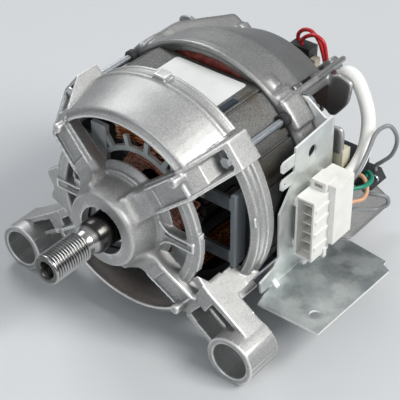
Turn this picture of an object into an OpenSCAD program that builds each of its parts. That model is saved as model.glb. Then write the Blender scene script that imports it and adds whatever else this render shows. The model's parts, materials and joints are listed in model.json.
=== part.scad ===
// Universal drum motor of a washing machine: two cast shields bolted round a two-pole iron
// The shaft runs along Y and points to -Y, +Z is up, and the origin is the centre of the hub's front face
// All sizes are in millimetres

/* [Stator iron] */
// Radius of the round part of the lamination stack
stator_r = 60; // [58:0.5:61]
// Height of the top and bottom flats from the shaft axis
flat_z = 52; // [50:0.5:54]
// Front face of the lamination stack
stack_front_y = 46; // [45:0.5:48]
// Length of the lamination stack
stack_len = 36; // [32:1:40]
// Inner radius of the iron ring beside the coils
yoke_inner_r = 48.5; // [47:0.5:50]
// Half width of each pole's neck
pole_half_w = 15; // [12:0.5:16]
// Thickness of the pole shoes
shoe_t = 4.5; // [3.5:0.5:5]

/* [Rotor] */
// Radius of the rotor iron
rotor_r = 27; // [25:0.5:28]
// Air gap between the rotor and the poles
air_gap = 0.5; // [0.4:0.1:0.8]
// Number of rotor slots
rotor_slots = 22; // [16:1:24]
// Radius of the commutator's running face
commutator_r = 16.5; // [15:0.5:18]
// Front end of the commutator bars
commutator_y = 106; // [104:0.5:108]
// Length of the commutator bars
commutator_len = 22; // [18:1:24]
// Number of commutator bars
commutator_bars = 22; // [16:1:24]

/* [Shaft] */
// Distance of the shaft tip in front of the hub face
tip_reach = 37.4; // [34:0.2:42]
// Outer radius of the ribbed pulley end
pulley_r = 7.6; // [7:0.1:8]
// Pitch of the pulley ribs
rib_pitch = 1.6; // [1.5:0.1:1.8]
// Number of pulley ribs
rib_count = 13; // [8:1:14]
// Depth of the rib grooves
rib_depth = 1.2; // [0.8:0.1:1.6]
// Radius of the front bearing seat
front_journal_r = 8.5; // [8:0.1:9]
// Radius of the rear bearing seat
rear_journal_r = 6; // [5.5:0.1:6.5]
// Radius of the threaded hole in the tip
tip_hole_r = 4; // [3:0.1:4.5]
// Depth of the threaded hole in the tip
tip_hole_depth = 18; // [10:1:22]

/* [Front shield] */
// Radius of the flat ring at the front of the hub
hub_r = 20; // [19.5:0.1:21]
// Radius of the shaft opening in the hub
hub_hole_r = 12.6; // [12:0.1:13.5]
// Angle of the struts above the horizontal
strut_angle = 39; // [37:0.5:41]
// Wall thickness of the strut channels
strut_wall = 1.8; // [1.5:0.1:2.5]
// Radius of the front edge of the cowls
lip_r = 52.9; // [52:0.1:54]
// Front edge of the cowls
lip_y = 15.5; // [14:0.5:17]
// Thickness of the cowl walls
cowl_t = 2.8; // [2:0.1:3.2]
// Distance of the mounting eyes left and right of the shaft
eye_x = 69; // [67:0.5:72]
// Distance of the mounting eyes below the shaft
eye_drop = 51.6; // [50:0.2:54]
// Bore radius of the mounting eyes
eye_bore_r = 9.8; // [8:0.1:10.2]
// Outer radius of the mounting eyes
eye_r = 13.2; // [12.6:0.1:14]

/* [Rear shield] */
// Length of the rear shield's seat ring
rear_ring_len = 13; // [11:0.5:15]
// Radius of the rear cowls at their crease
crease_r = 60; // [59:0.5:61]
// Radius of the rear cowls at their rear edge
rear_edge_r = 46.5; // [45:0.5:48]
// Rear edge of the rear cowls
rear_edge_y = 135; // [132:1:138]
// Thickness of the radial fins
fin_t = 3; // [2.4:0.1:3.6]
// Reach of the lower wings from the shaft axis
wing_r = 81; // [78:0.5:84]

/* [Bolts] */
// Radius of the tie bolts
bolt_r = 1.9; // [1.8:0.05:2]
// Clearance between the tie bolts and the iron
bolt_gap = 0.8; // [0.7:0.05:0.95]
// Offset of the bolts from the strut's centreline through the axis
bolt_offset = 2; // [1:0.5:3]

/* [Bearings] */
// Outer radius of the front bearing
front_bearing_r = 17.5; // [17:0.1:17.5]
// Outer radius of the rear bearing
rear_bearing_r = 16; // [15:0.1:16.5]
// Width of both bearings
bearing_w = 10; // [9:0.5:11]
// Number of balls in each bearing
ball_count = 8; // [6:1:8]

/* [Field coils] */
// Diameter of one coil strand
strand_d = 2.9; // [2.4:0.1:3]
// Distance between neighbouring strands
strand_pitch = 3.4; // [3.35:0.05:3.5]
// Turns in each layer
turns_per_layer = 3; // [2:1:3]
// Layers in each coil
coil_layers = 4; // [2:2:4]

/* [Connector bracket] */
// Sheet thickness of the bracket
sheet_t = 1.2; // [1:0.1:1.5]
// Distance of the upright plate's outer face from the iron
plate_gap = 2.6; // [2.6:0.1:4]
// Top face of the foot plate
foot_z = -36; // [-38:0.5:-34]
// Radius of the holes in the bracket
bracket_hole_r = 3.25; // [2.5:0.05:3.5]
// Width of the spade tabs
tab_w = 6.3; // [6.3:0.1:6.5]

/* [Connector] */
// Height of the connector's mouth
mouth_h = 35.5; // [34:0.5:37]
// Depth of the connector from the bracket outward
mouth_w = 10.5; // [10:0.5:11]
// Number of ways
ways = 6; // [4:1:6]

/* [Loom] */
// Diameter of the loom sleeve
sleeve_d = 7.5; // [6:0.5:8]
// Diameter of the single leads
lead_d = 2.2; // [1.8:0.1:2.4]

/* [Hidden] */
$fn = 96;

// Named clearances
seat_gap = 0.05;
part_gap = 0.3;
cut = 1;

// Values worked out from the sizes above
stack_rear_y = stack_front_y + stack_len;
bore_r = rotor_r + air_gap;
shoe_r = bore_r + shoe_t;
rear_ring_y = stack_rear_y - 1.5;
rear_ring_end_y = rear_ring_y + rear_ring_len + 1.5;
commutator_end_y = commutator_y + commutator_len;
plate_x = stator_r + plate_gap;
brush_y = commutator_y + commutator_len / 2;
hub_len = 20;
front_bearing_y = 5.6;
rear_bearing_y = 140;
washer_t = 0.5;
ball_ratio = 0.44;

// A flat outline in X and Z, made solid from y0 to y1
module along_y(y0, y1) {
    translate([0, y1, 0]) rotate([90, 0, 0]) linear_extrude(y1 - y0) children();
}

// A profile of radius and Y, turned right round the shaft axis
module turned() {
    rotate([-90, 0, 0]) rotate_extrude() children();
}

// The same from angle a0 to a1, counted from +X towards +Z
module turned_arc(a0, a1) {
    rotate([-90, 0, 0]) rotate([0, 0, -a1]) rotate_extrude(angle = a1 - a0) children();
}

module rod_y(r, y0, y1, x = 0, z = 0) {
    translate([x, y0, z]) rotate([-90, 0, 0]) cylinder(h = y1 - y0, r = r);
}

// Box given by its two opposite corners
module block(a, b) {
    translate(a) cube(b - a);
}

// Left copy of a shape beside the right one
module both_sides() {
    children();
    mirror([1, 0, 0]) children();
}

// All four corners from the upper right one
module four_corners() {
    both_sides() {
        children();
        mirror([0, 0, 1]) children();
    }
}

// Frame whose X runs out along the upper right strut and whose Z lies across it
module at_strut() {
    rotate([0, -strut_angle, 0]) children();
}

// Frame whose X runs out radially at a given angle
module at_angle(a) {
    rotate([0, -a, 0]) children();
}

// A side outline of radius and Y in a radial frame, made solid across it from z0 to z1
module plate_across(z0, z1) {
    translate([0, 0, z0]) linear_extrude(z1 - z0) children();
}

// Points of an arc for blending two edges of an outline
function arc_points(cx, cy, r, a0, a1, n = 6) =
    [for (i = [0:n]) [cx + r * cos(a0 + (a1 - a0) * i / n), cy + r * sin(a0 + (a1 - a0) * i / n)]];

// Tie bolt place in X and Z, beside the iron
bolt_circle_r = stator_r + bolt_r + bolt_gap;
bolt_along = sqrt(bolt_circle_r * bolt_circle_r - bolt_offset * bolt_offset);
bolt_x = bolt_along * cos(strut_angle) - bolt_offset * sin(strut_angle);
bolt_z = bolt_along * sin(strut_angle) + bolt_offset * cos(strut_angle);

// Front shield values
strut_low = -4.6;
strut_high = 10.3;
flange_r = 3.4;
block_reach = bolt_along + flange_r + 1.3;
block_front_y = 37.5;
block_rear_y = stack_front_y + 5;
post_u = 51.5;
rim_inner_y = 10.8;
rim_outer_y = 14.5;
floor_depth = 2.3;
slope_depth = 0.9;
head_floor_y = 38;
head_h = 4.2;
hoop_in_r = 38.2;
hoop_out_r = 45;
hoop_front_y = 16.5;
hoop_rear_y = 22;
ring_front_y = stack_front_y - 2;
ring_out_r = stator_r + 1.6;
cowl_rear_r = stator_r + 2;
cowl_half = 40;
arm_tilt = 35.5;
arm_front_y = 17.5;
arm_rear_y = 31;
eye_front_y = 10.1;
eye_rear_y = 31.5;
post_r = 2.5;

// Strut seen from its side: hub end, rim, slope to the bolt corner, underside
module strut_side() {
    polygon(concat(
        [[17.8, 2.8], [20.7, 3.4]],
        arc_points(29.5, 2.8, 8.5, 174, 104, 5),
        [[post_u, rim_outer_y], [post_u + 1.6, rim_outer_y + 1.2], [block_reach, block_front_y],
         [block_reach, block_rear_y], [stator_r - 1, block_rear_y], [stator_r - 1, stack_front_y - 1],
         [57.2, 40], [50.5, 22.4], [40, 21.4], [17.8, hub_len]]));
}

// Channel between the rims, with its cross step near the hub
module strut_pocket_side() {
    polygon([[27.5, -5], [27.5, rim_inner_y + 1.4], [33.5, rim_inner_y + 2], [34, rim_inner_y + 3.2],
             [post_u - 1, rim_outer_y + floor_depth - 0.2], [post_u - 1, -5]]);
}

// Shallow face outside the post, sloping with the cowl
module strut_slope_side() {
    polygon([[post_u + 0.4, -5], [post_u + 0.4, rim_outer_y + slope_depth + 0.6],
             [post_u + 1.6, rim_outer_y + 1.2 + slope_depth * 1.6],
             [block_reach - 1.6, block_front_y - 0.5], [block_reach - 1.6, -5]]);
}

// Pocket for the bolt head
module head_recess() {
    at_strut() block([bolt_along - flange_r - 1.8, 0, strut_low + strut_wall + 0.6],
                     [block_reach - 1.2, head_floor_y, strut_high - strut_wall - 0.6]);
}

module strut() {
    difference() {
        at_strut() difference() {
            plate_across(strut_low, strut_high) strut_side();
            plate_across(strut_low + strut_wall, strut_high - strut_wall - 0.6) strut_pocket_side();
            plate_across(strut_low + strut_wall, strut_high - strut_wall) strut_slope_side();
            // step along the rim on the cowl side
            plate_across(strut_high - 1.3, strut_high + cut)
                polygon([[24, 0], [24, 12.6], [post_u, 16], [post_u, 0]]);
        }
        head_recess();
        rod_y(yoke_inner_r, hub_len + 6, block_rear_y + cut);
    }
}

module hub() {
    turned() polygon(concat(
        [[hub_hole_r, 0]],
        arc_points(hub_r - 1.8, 1.8, 1.8, -90, 0, 4),
        [[hub_r + 0.7, 7], [hub_r + 2.4, hub_len], [front_bearing_r, hub_len],
         [front_bearing_r, front_bearing_y - washer_t], [hub_hole_r, front_bearing_y - washer_t]]));
}

// Cowl over a pole: beaded lip, ridge, wall and rear flange over the iron
module cowl_profile() {
    polygon([[lip_r - 1.4, lip_y + 0.4], [lip_r - 0.4, lip_y], [lip_r + 0.4, lip_y + 0.5],
             [lip_r + 1.2, lip_y + 2.2], [lip_r + 2.8, lip_y + 2.6], [lip_r + 3.2, lip_y + 3.8],
             [cowl_rear_r - 0.7, stack_front_y - 3.4], [cowl_rear_r + 0.1, stack_front_y - 2.2],
             [cowl_rear_r + 0.1, stack_front_y - 0.6], [cowl_rear_r - 0.6, stack_front_y + 0.2],
             [cowl_rear_r - 0.5, stack_front_y + 4.2], [cowl_rear_r + 0.1, stack_front_y + 4.4],
             [cowl_rear_r, stack_front_y + 6], [stator_r - 1, stack_front_y + 6],
             [stator_r - 1, stack_front_y + 1], [cowl_rear_r - cowl_t - 2, stack_front_y + 1],
             [cowl_rear_r - cowl_t - 1.4, stack_front_y - 3], [lip_r + 2.9 - cowl_t, lip_y + 4.6]]);
}

// Seat ring beside the iron, seen between the struts
module seat_ring_profile() {
    polygon([[ring_out_r - 6.2, ring_front_y], [ring_out_r - 2, ring_front_y],
             [ring_out_r - 1.6, ring_front_y + 1.6], [ring_out_r - 0.6, ring_front_y + 2],
             [ring_out_r - 0.4, ring_front_y + 9], [ring_out_r - 0.9, ring_front_y + 10],
             [stator_r - 1, ring_front_y + 10], [stator_r - 1, stack_front_y + 1.4],
             [ring_out_r - 6.2, stack_front_y + 1.4]]);
}

module hoop_profile() {
    polygon([[hoop_in_r, hoop_front_y + 0.8], [hoop_in_r + 0.8, hoop_front_y],
             [hoop_out_r - 2.6, hoop_front_y], [hoop_out_r - 2.2, hoop_front_y + 0.8],
             [hoop_out_r, hoop_front_y + 1.4], [hoop_out_r, hoop_rear_y - 1],
             [hoop_out_r - 1, hoop_rear_y], [hoop_in_r, hoop_rear_y]]);
}

// Twin rib from the hub to a side hoop, flared where it leaves the hub
module twin_rib() {
    difference() {
        along_y(hoop_front_y + 0.4, hoop_rear_y - 0.6)
            polygon(concat([[19, -9]], arc_points(31, -11.8, 9, 150, 90, 5),
                           [[hoop_in_r + 3, -2.8]], arc_points(hoop_in_r + 3, 0, 2.8, -60, 60, 6),
                           [[hoop_in_r + 3, 2.8]], arc_points(31, 11.8, 9, -90, -150, 5), [[19, 9]]));
        along_y(hoop_front_y, hoop_front_y + 2.2)
            polygon([[25, -0.9], [hoop_in_r + 2.6, -0.9], [hoop_in_r + 2.6, 0.9], [25, 0.9]]);
    }
}

// Channel arm down to a mounting eye, open to the front
arm_top = 10.2;
arm_bottom = -15;
arm_wall = 2.8;
eye_along = eye_x * cos(arm_tilt) + eye_drop * sin(arm_tilt);
eye_across = eye_x * sin(arm_tilt) - eye_drop * cos(arm_tilt);

module at_arm() {
    rotate([0, arm_tilt, 0]) children();
}

module arm() {
    difference() {
        at_arm() difference() {
            union() {
                translate([0, arm_front_y, 0]) rotate([-90, 0, 0]) linear_extrude(arm_rear_y - arm_front_y)
                    polygon([[48, -arm_top], [eye_along - 3, -eye_across - eye_r + 0.4],
                             [eye_along - 3, -eye_across + eye_r - 0.2], [56, -arm_bottom]]);
                // root that runs back along the corner block
                block([54, arm_front_y + 6, arm_top - 12], [62, block_front_y + 6, arm_top - arm_wall]);
            }
            translate([0, arm_front_y - cut, 0]) rotate([-90, 0, 0])
                linear_extrude(arm_rear_y - arm_front_y - arm_wall + cut)
                polygon([[60, -arm_top + arm_wall], [eye_along - 3, -eye_across - eye_r + arm_wall + 0.6],
                         [eye_along - 3, -eye_across + eye_r - arm_wall - 0.2],
                         [62, -arm_bottom - arm_wall]]);
        }
        rod_y(eye_r - 1, 0, 60, eye_x, -eye_drop);
        rod_y(yoke_inner_r + 3, 0, block_rear_y + cut);
        mirror([0, 0, 1]) head_recess();
    }
    // stiffening rib along the channel
    at_arm() block([66, arm_front_y + 5, eye_across - 1], [eye_along - eye_r + 0.6, arm_rear_y - 1, eye_across + 1]);
    difference() {
        rod_y(eye_r, eye_front_y, eye_rear_y, eye_x, -eye_drop);
        rod_y(eye_bore_r, eye_front_y - cut, eye_rear_y + cut, eye_x, -eye_drop);
    }
}

module front_shield() {
    color("lightgray") {
        difference() {
            union() {
                hub();
                four_corners() strut();
                four_corners() rod_y(post_r, eye_front_y, 20, 35.5, 37.5);
                for (top = [0, 1]) mirror([0, 0, top]) {
                    turned_arc(90 - cowl_half, 90 + cowl_half) cowl_profile();
                    // locating tab on the flange
                    block([-3.2, stack_front_y - 1.6, cowl_rear_r - 2.2], [3.2, stack_front_y + 4.6, cowl_rear_r + 2.2]);
                }
                both_sides() {
                    turned_arc(-33, 33) hoop_profile();
                    turned_arc(-42, 42) seat_ring_profile();
                    twin_rib();
                    arm();
                }
                // stop lug on the seat ring
                at_angle(8) block([58, ring_front_y - 3.6, -2.3], [ring_out_r - 0.5, ring_front_y + 1.2, 2.3]);
                // lug on the right hoop and forked lug on the left one
                turned_arc(-18, 10) polygon([[hoop_out_r - 3, hoop_front_y + 0.6], [hoop_out_r + 1.2, hoop_front_y + 1],
                                             [hoop_out_r + 1.2, hoop_rear_y - 1], [hoop_out_r - 3, hoop_rear_y - 1]]);
                difference() {
                    along_y(hoop_front_y + 0.4, hoop_rear_y - 1)
                        polygon([[-hoop_out_r + 2, 9], [-51, 3.2], [-51.3, 0.6], [-47.6, -5.6], [-50, -11.4],
                                 [-49.4, -13.4], [-hoop_out_r + 4, -17]]);
                }
            }
            turned() polygon([[0, -cut], [hub_hole_r, -cut], [hub_hole_r, front_bearing_y - washer_t],
                              [front_bearing_r, front_bearing_y - washer_t], [front_bearing_r, hub_len + 4],
                              [0, hub_len + 4]]);
            // seat of the iron
            rod_y(stator_r + seat_gap, stack_front_y, ring_front_y + 12);
            four_corners() rod_y(bolt_r + 0.3, head_floor_y - cut, ring_front_y + 12, bolt_x, bolt_z);
        }
    }
}

// Rear shield values
rear_lug_y = rear_ring_end_y + 0.7;
crease_y = 105;
leg_front_y = 145;
leg_rear_y = 152;
rear_hub_r = 20.5;
rear_hub_y = 137;
pad_x = plate_x - sheet_t;
cheek_y = 125;

module rear_cowl_profile() {
    polygon([[stator_r + 1, rear_ring_y + 0.4], [stator_r + 2.5, rear_ring_y + 0.4], [stator_r + 2.9, rear_ring_y + 0.8],
             [stator_r + 2.9, rear_ring_y + 2.2], [stator_r + 2.3, rear_ring_y + 2.8],
             [stator_r + 2.3, rear_ring_y + 3.8], [stator_r + 2.8, rear_ring_y + 4.4],
             [stator_r + 2.2, rear_ring_y + 6], [crease_r + 0.6, crease_y - 1.5], [crease_r, crease_y],
             [rear_edge_r, rear_edge_y], [rear_edge_r - 2.4, rear_edge_y - 1.2],
             [crease_r - cowl_t - 0.6, crease_y - 1], [crease_r - cowl_t, rear_ring_y + 8],
             [stator_r - 2.6, rear_ring_y + 5], [stator_r + 1, rear_ring_y + 4]]);
}

module rear_ring_profile() {
    polygon([[stator_r + 1, rear_ring_y + 0.6], [stator_r + 2.6, rear_ring_y + 0.6], [stator_r + 4, rear_ring_y + 3],
             [stator_r + 4, rear_ring_end_y - 1.5], [stator_r + 2.8, rear_ring_end_y],
             [stator_r - 3.6, rear_ring_end_y], [stator_r - 3.6, rear_ring_y + 4], [stator_r + 1, rear_ring_y + 4]]);
}

// Rim all round that the iron is let into
module rear_rim_profile() {
    polygon([[stator_r - 4, rear_ring_y + 0.6], [stator_r - 3, rear_ring_y], [stator_r + 2.1, rear_ring_y],
             [stator_r + 2.1, rear_ring_y + 5.5], [stator_r - 4, rear_ring_y + 5.5]]);
}

// Thicker stretch of the ring that takes the end of a tie bolt
bolt_angle = atan2(bolt_z, bolt_x);
rear_lug_r = bolt_circle_r + bolt_r + 1.3;

module rear_lug() {
    turned_arc(bolt_angle - 7, bolt_angle + 7)
        polygon([[stator_r - 2.8, rear_ring_y + 0.3], [rear_lug_r - 1.2, rear_ring_y + 0.3],
                 [rear_lug_r, rear_ring_y + 1.4], [rear_lug_r, rear_lug_y - 0.8],
                 [rear_lug_r - 0.8, rear_lug_y], [stator_r - 2.8, rear_lug_y]]);
}

// Upper fin: rises from the ring, narrows behind the cowl and joins the spider
module fin(angle) {
    at_angle(angle) plate_across(-fin_t / 2, fin_t / 2)
        polygon(concat([[56.5, rear_ring_y + 5], [65.5, 88]], arc_points(60.6, 110, 5, 0, 35, 4),
                       [[60.4, 127], [54.2, 146]], arc_points(49.4, 145.6, 5, 30, 90, 4),
                       [[43, leg_rear_y], [30, leg_rear_y], [30, leg_front_y], [40, leg_front_y],
                        [49, 122], [55, 104]]));
}

// Lower wing: a longer radial plate with a rounded rear corner
module wing(angle) {
    at_angle(angle) plate_across(-fin_t / 2 - 0.3, fin_t / 2 + 0.3)
        polygon(concat([[56.5, rear_ring_y + 5], [65.5, 90], [72, 112]], arc_points(wing_r - 4, 125, 4, -50, 0, 4),
                       arc_points(wing_r - 5, 160, 5, 0, 90, 5),
                       [[66, 163], [54, leg_rear_y], [30, leg_rear_y], [30, leg_front_y], [40, leg_front_y],
                        [49, 122], [55, 104]]));
}

// Folded cheek plate between the upper fin and the brush gear
module cheek() {
    along_y(cheek_y, cheek_y + 3) polygon([[39.5, 40.5], [41.5, 40.8], [47.7, 43.7], [52.8, 42.3], [55.5, 40.6],
                               [54.1, 29.4], [51.7, 25.5], [46.4, 18.7], [43, 18], [40.4, 21.4]]);
    along_y(104, cheek_y + 3) polygon([[39.5, 42.2], [42.2, 39.6], [42.2, 36], [39.5, 36]]);
}

module rear_shield() {
    color("darkgray") difference() {
        union() {
            turned() rear_rim_profile();
            for (top = [0, 1]) mirror([0, 0, top])
                turned_arc(90 - cowl_half, 90 + cowl_half) rear_cowl_profile();
            both_sides() turned_arc(-52, 52) rear_ring_profile();
            four_corners() rear_lug();
            both_sides() {
                fin(47);
                wing(-40);
                cheek();
            }
            // raised pad beside the right fin
            turned_arc(54, 60) polygon([[stator_r, rear_ring_y + 5.5], [stator_r + 3.4, rear_ring_y + 6],
                                        [stator_r + 3.2, rear_ring_y + 11], [stator_r, rear_ring_y + 11.5]]);
            // spider legs and bearing hub
            for (a = [47, 133, 220, 320]) at_angle(a)
                block([16.6, leg_front_y, -4], [46, leg_rear_y, 4]);
            turned() polygon([[rear_bearing_r, rear_hub_y], [rear_hub_r, rear_hub_y + 1], [rear_hub_r, 153],
                              [13, 153], [13, rear_bearing_y + bearing_w], [rear_bearing_r, rear_bearing_y + bearing_w]]);
        }
        // seat of the iron
        rod_y(stator_r + seat_gap, rear_ring_y - cut, stack_rear_y);
        // flat pads that the bracket and its left counterpart lie on
        both_sides() block([pad_x, rear_ring_y - cut, -24], [pad_x + 20, rear_ring_end_y + cut, 26]);
        turned() polygon([[0, rear_hub_y - cut], [rear_bearing_r, rear_hub_y - cut],
                          [rear_bearing_r, rear_bearing_y + bearing_w], [13, rear_bearing_y + bearing_w],
                          [13, 154], [0, 154]]);
        four_corners() rod_y(bolt_r + seat_gap, rear_ring_y - cut, rear_lug_y + cut, bolt_x, bolt_z);
        // screw holes of the brush holders
        both_sides() for (z = [-14, 14]) rod_y(1.5, rear_ring_end_y - 8, rear_ring_end_y + cut, 57.5, z);
    }
}

// Lamination outline with the two poles, their shoes and the windows for the coils
module lamination() {
    difference() {
        intersection() {
            circle(r = stator_r);
            square([2 * stator_r + 2, 2 * flat_z], center = true);
        }
        difference() {
            circle(r = yoke_inner_r);
            square([2 * pole_half_w, 2 * yoke_inner_r + 2], center = true);
            intersection() {
                circle(r = shoe_r);
                for (s = [0, 1]) mirror([0, s]) polygon([[0, 0], [-60, 34], [-60, 60], [60, 60], [60, 34]]);
            }
        }
        circle(r = bore_r);
        // grooves down the outside
        for (sx = [1, -1], sz = [1, -1]) {
            translate([sx * 32.6, sz * 50.6]) rotate(sx * sz * -33) square([1.1, 3], center = true);
            translate([sx * 50.3, sz * 32.7]) rotate(sx * sz * -57) square([1.6, 3.2], center = true);
            translate([sx * 56.8, sz * 19.2]) rotate(sx * sz * -71) square([1.6, 3.2], center = true);
        }
    }
}

module stator_core() {
    color("gray") along_y(stack_front_y, stack_rear_y) lamination();
}

// Field coil: strands piled in layers round the pole, spiralling in and out again
coil_turns = turns_per_layer * coil_layers;
coil_r0 = shoe_r + 0.5 + strand_d / 2;
coil_half_w = pole_half_w + 1.5 + strand_d / 2 + part_gap;
coil_end = 3.5;
coil_rear_y = 98;
// Turns left straight at each end, for the run to the rear frame
coil_lead_in = 0.175;
coil_mid_y = stack_front_y + stack_len / 2;
rings_per_turn = 24;

// Offset from the innermost turn, in turns: in and out again at a steady rate
function coil_step(t) = let (k = floor(t / turns_per_layer), f = t - k * turns_per_layer)
    (k % 2 == 0) ? turns_per_layer - f : f;
// Height in layers, with each climb in the rear end turn where the spiral reverses
function coil_layer(t) = let (k = round(t / turns_per_layer), d = t - k * turns_per_layer)
    (k == 0 || k == coil_layers) ? floor(min(t, coil_turns - 0.001) / turns_per_layer)
    : (abs(d) < 0.125) ? k - 0.5 + d * 4 : floor(t / turns_per_layer);
// Point on a rounded rectangle of half width a and half length b: the phase runs once round it
function loop_point(p, a, b, c) = let (q = floor(p * 4) % 4, f = p * 4 - floor(p * 4))
    q == 0 ? side_point(f, a, b, c)
    : q == 1 ? end_point(f, a, b, c)
    : q == 2 ? let (s = side_point(f, a, b, c)) [-s[0], -s[1]]
    : let (s = end_point(f, a, b, c)) [-s[0], -s[1]];
// Down the right side towards the front, with half of each corner
function side_point(f, a, b, c) =
    f < 0.2 ? let (g = 45 * (1 - f / 0.2)) [a - c + c * cos(g), b - c + c * sin(g)]
    : f > 0.8 ? let (g = -45 * (f - 0.8) / 0.2) [a - c + c * cos(g), -b + c + c * sin(g)]
    : [a, (b - c) * (1 - 2 * (f - 0.2) / 0.6)];
// Across the front from the right corner to the left one
function end_point(f, a, b, c) =
    f < 0.2 ? let (g = -45 - 45 * f / 0.2) [a - c + c * cos(g), -b + c + c * sin(g)]
    : f > 0.8 ? let (g = -90 - 45 * (f - 0.8) / 0.2) [-a + c + c * cos(g), -b + c + c * sin(g)]
    : [(a - c) * (1 - 2 * (f - 0.2) / 0.6), -b];
// Strand centre at t turns, laid round the shaft axis over the top pole
function coil_point(t) = let (
        w = coil_step(t) * strand_pitch,
        r = coil_r0 + coil_layer(t) * strand_pitch,
        phase = t + 0.875,
        p = loop_point(phase - floor(phase), coil_half_w + w, stack_len / 2 + coil_end + w, 6 + w),
        angle = 90 - p[0] / r * 180 / PI)
    [r * cos(angle), coil_mid_y + p[1], r * sin(angle)];
coil_rings = round(rings_per_turn * (coil_turns - 2 * coil_lead_in));
coil_loops = [for (i = [0:coil_rings])
    coil_point(coil_lead_in + (coil_turns - 2 * coil_lead_in) * i / coil_rings)];
// The same with both ends run straight back to the rear frame
coil_path = concat([[coil_loops[0][0], coil_rear_y, coil_loops[0][2]]], coil_loops,
                   [[coil_loops[coil_rings][0], coil_rear_y, coil_loops[coil_rings][2]]]);

function unit(v) = v / norm(v);
// Ring of points round a path point, its first one on the side away from the shaft axis
function ring_points(c, along, out, r, n) = let (b = unit(cross(along, out)), o = cross(b, along))
    [for (i = [0:n - 1]) c + r * (cos(360 * i / n) * o + sin(360 * i / n) * b)];
function path_dir(p, i) = unit(p[min(i + 1, len(p) - 1)] - p[max(i - 1, 0)]);

// Closed tube from a list of rings with n points each
module tube_of_rings(rings, n) {
    last = len(rings) - 1;
    polyhedron(
        points = [for (ring = rings) for (q = ring) q],
        faces = concat(
            [[for (j = [0:n - 1]) j]],
            [for (i = [0:last - 1]) for (j = [0:n - 1]) for (h = [0, 1])
                let (a = i * n + j, b = i * n + (j + 1) % n) h == 0 ? [a, a + n, b] : [b, a + n, b + n]],
            [[for (j = [n - 1:-1:0]) last * n + j]]),
        convexity = 10);
}

module field_coil() {
    rings = [for (i = [0:len(coil_path) - 1])
        let (c = coil_path[i]) ring_points(c, path_dir(coil_path, i), unit([c[0], 0, c[2]]), strand_d / 2, 6)];
    tube_of_rings(rings, 6);
}

// Least distance between strands of different turns, less one strand
coil_gap = min([for (i = [0:len(coil_path) - 1]) for (j = [i + 12:len(coil_path) - 1])
    norm(coil_path[i] - coil_path[j])]) - strand_d;
echo(coil_gap = coil_gap);

module field_coil_top() {
    color("peru") field_coil();
}

module field_coil_bottom() {
    color("peru") mirror([0, 0, 1]) field_coil();
}

// White front frame: arched rails with fingers, end posts, side bars
rail_in_r = 28.4;
rail_out_r = 31;
rail_y = 28.4;
rail_t = 2;
finger_r = 37;
bar_t = 2.4;
bar_x = stator_r - 11.8;
bar_front_y = stack_front_y - 8.5;

module coil_frame_half() {
    turned_arc(42, 138) polygon([[rail_in_r, rail_y], [rail_out_r, rail_y], [rail_out_r, rail_y + rail_t],
                                 [rail_in_r, rail_y + rail_t]]);
    for (a = [61:21:124]) at_angle(a)
        block([rail_out_r - 0.5, rail_y, -1.3], [finger_r, rail_y + rail_t - 0.2, 1.3]);
    both_sides() {
        block([20, rail_y - 0.6, 15.6], [29.4, rail_y + rail_t, 36]);
        block([27.4, rail_y - 0.6, 12], [29.4, bar_front_y + rail_t, 19]);
        block([27.4, bar_front_y, 12], [bar_x + 1, bar_front_y + rail_t, 19]);
        block([bar_x, bar_front_y, 0], [bar_x + bar_t, stack_front_y, 21]);
    }
}

module coil_frame_front() {
    color("ghostwhite") {
        coil_frame_half();
        mirror([0, 0, 1]) coil_frame_half();
    }
}

// Rear frame: side bars, cross bars and pads that the coil ends meet
module coil_frame_rear() {
    color("ghostwhite") both_sides() {
        block([bar_x, stack_rear_y, -21], [bar_x + bar_t, coil_rear_y + 2, 21]);
        for (s = [0, 1]) mirror([0, 0, s]) {
            block([21, coil_rear_y, 15], [30, coil_rear_y + 2, 39.5]);
            block([29, coil_rear_y, 15], [bar_x + 1, coil_rear_y + 2, 20]);
        }
    }
}

// Bound leads over the rear ends of the coils
wrap_r = 5;
wrap_place_r = stator_r - 8.4;

module coil_wraps() {
    color("firebrick") for (s = [0, 1]) mirror([0, 0, s])
        turned_arc(60, 120) translate([wrap_place_r, stack_rear_y + 6.6]) circle(r = wrap_r, $fn = 32);
}

// Tie bolt: flanged hex head in the strut's recess, rod outside the iron, end in the rear lug
module tie_bolts() {
    color("silver") four_corners() {
        rod_y(bolt_r, head_floor_y - head_h, rear_lug_y - 1.5, bolt_x, bolt_z);
        rod_y(flange_r, head_floor_y - 1.1, head_floor_y, bolt_x, bolt_z);
        translate([bolt_x, head_floor_y - head_h, bolt_z]) rotate([-90, 0, 0]) cylinder(h = head_h - 1, r = 3.1, $fn = 6);
    }
}

// Ball bearing round the shaft axis: land radii follow the pitch circle and the ball size
function pitch_r(in_r, out_r) = (in_r + out_r) / 2;
function ball_r(in_r, out_r) = (out_r - in_r) * ball_ratio / 1.54;

module bearing_outer(in_r, out_r, y0, sealed) {
    p = pitch_r(in_r, out_r);
    b = ball_r(in_r, out_r);
    difference() {
        turned() polygon([[p + b * 0.55, y0], [out_r - 0.5, y0], [out_r, y0 + 0.5], [out_r, y0 + bearing_w - 0.5],
                          [out_r - 0.5, y0 + bearing_w], [p + b * 0.55, y0 + bearing_w]]);
        turned() translate([p, y0 + bearing_w / 2]) circle(r = b + 0.05, $fn = 48);
    }
    if (sealed)
        turned() polygon([[p - b * 0.55 + 0.2, y0 + 0.4], [p + b * 0.55, y0 + 0.4], [p + b * 0.55, y0 + 1.2],
                          [p - b * 0.55 + 0.2, y0 + 1.2]]);
}

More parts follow.
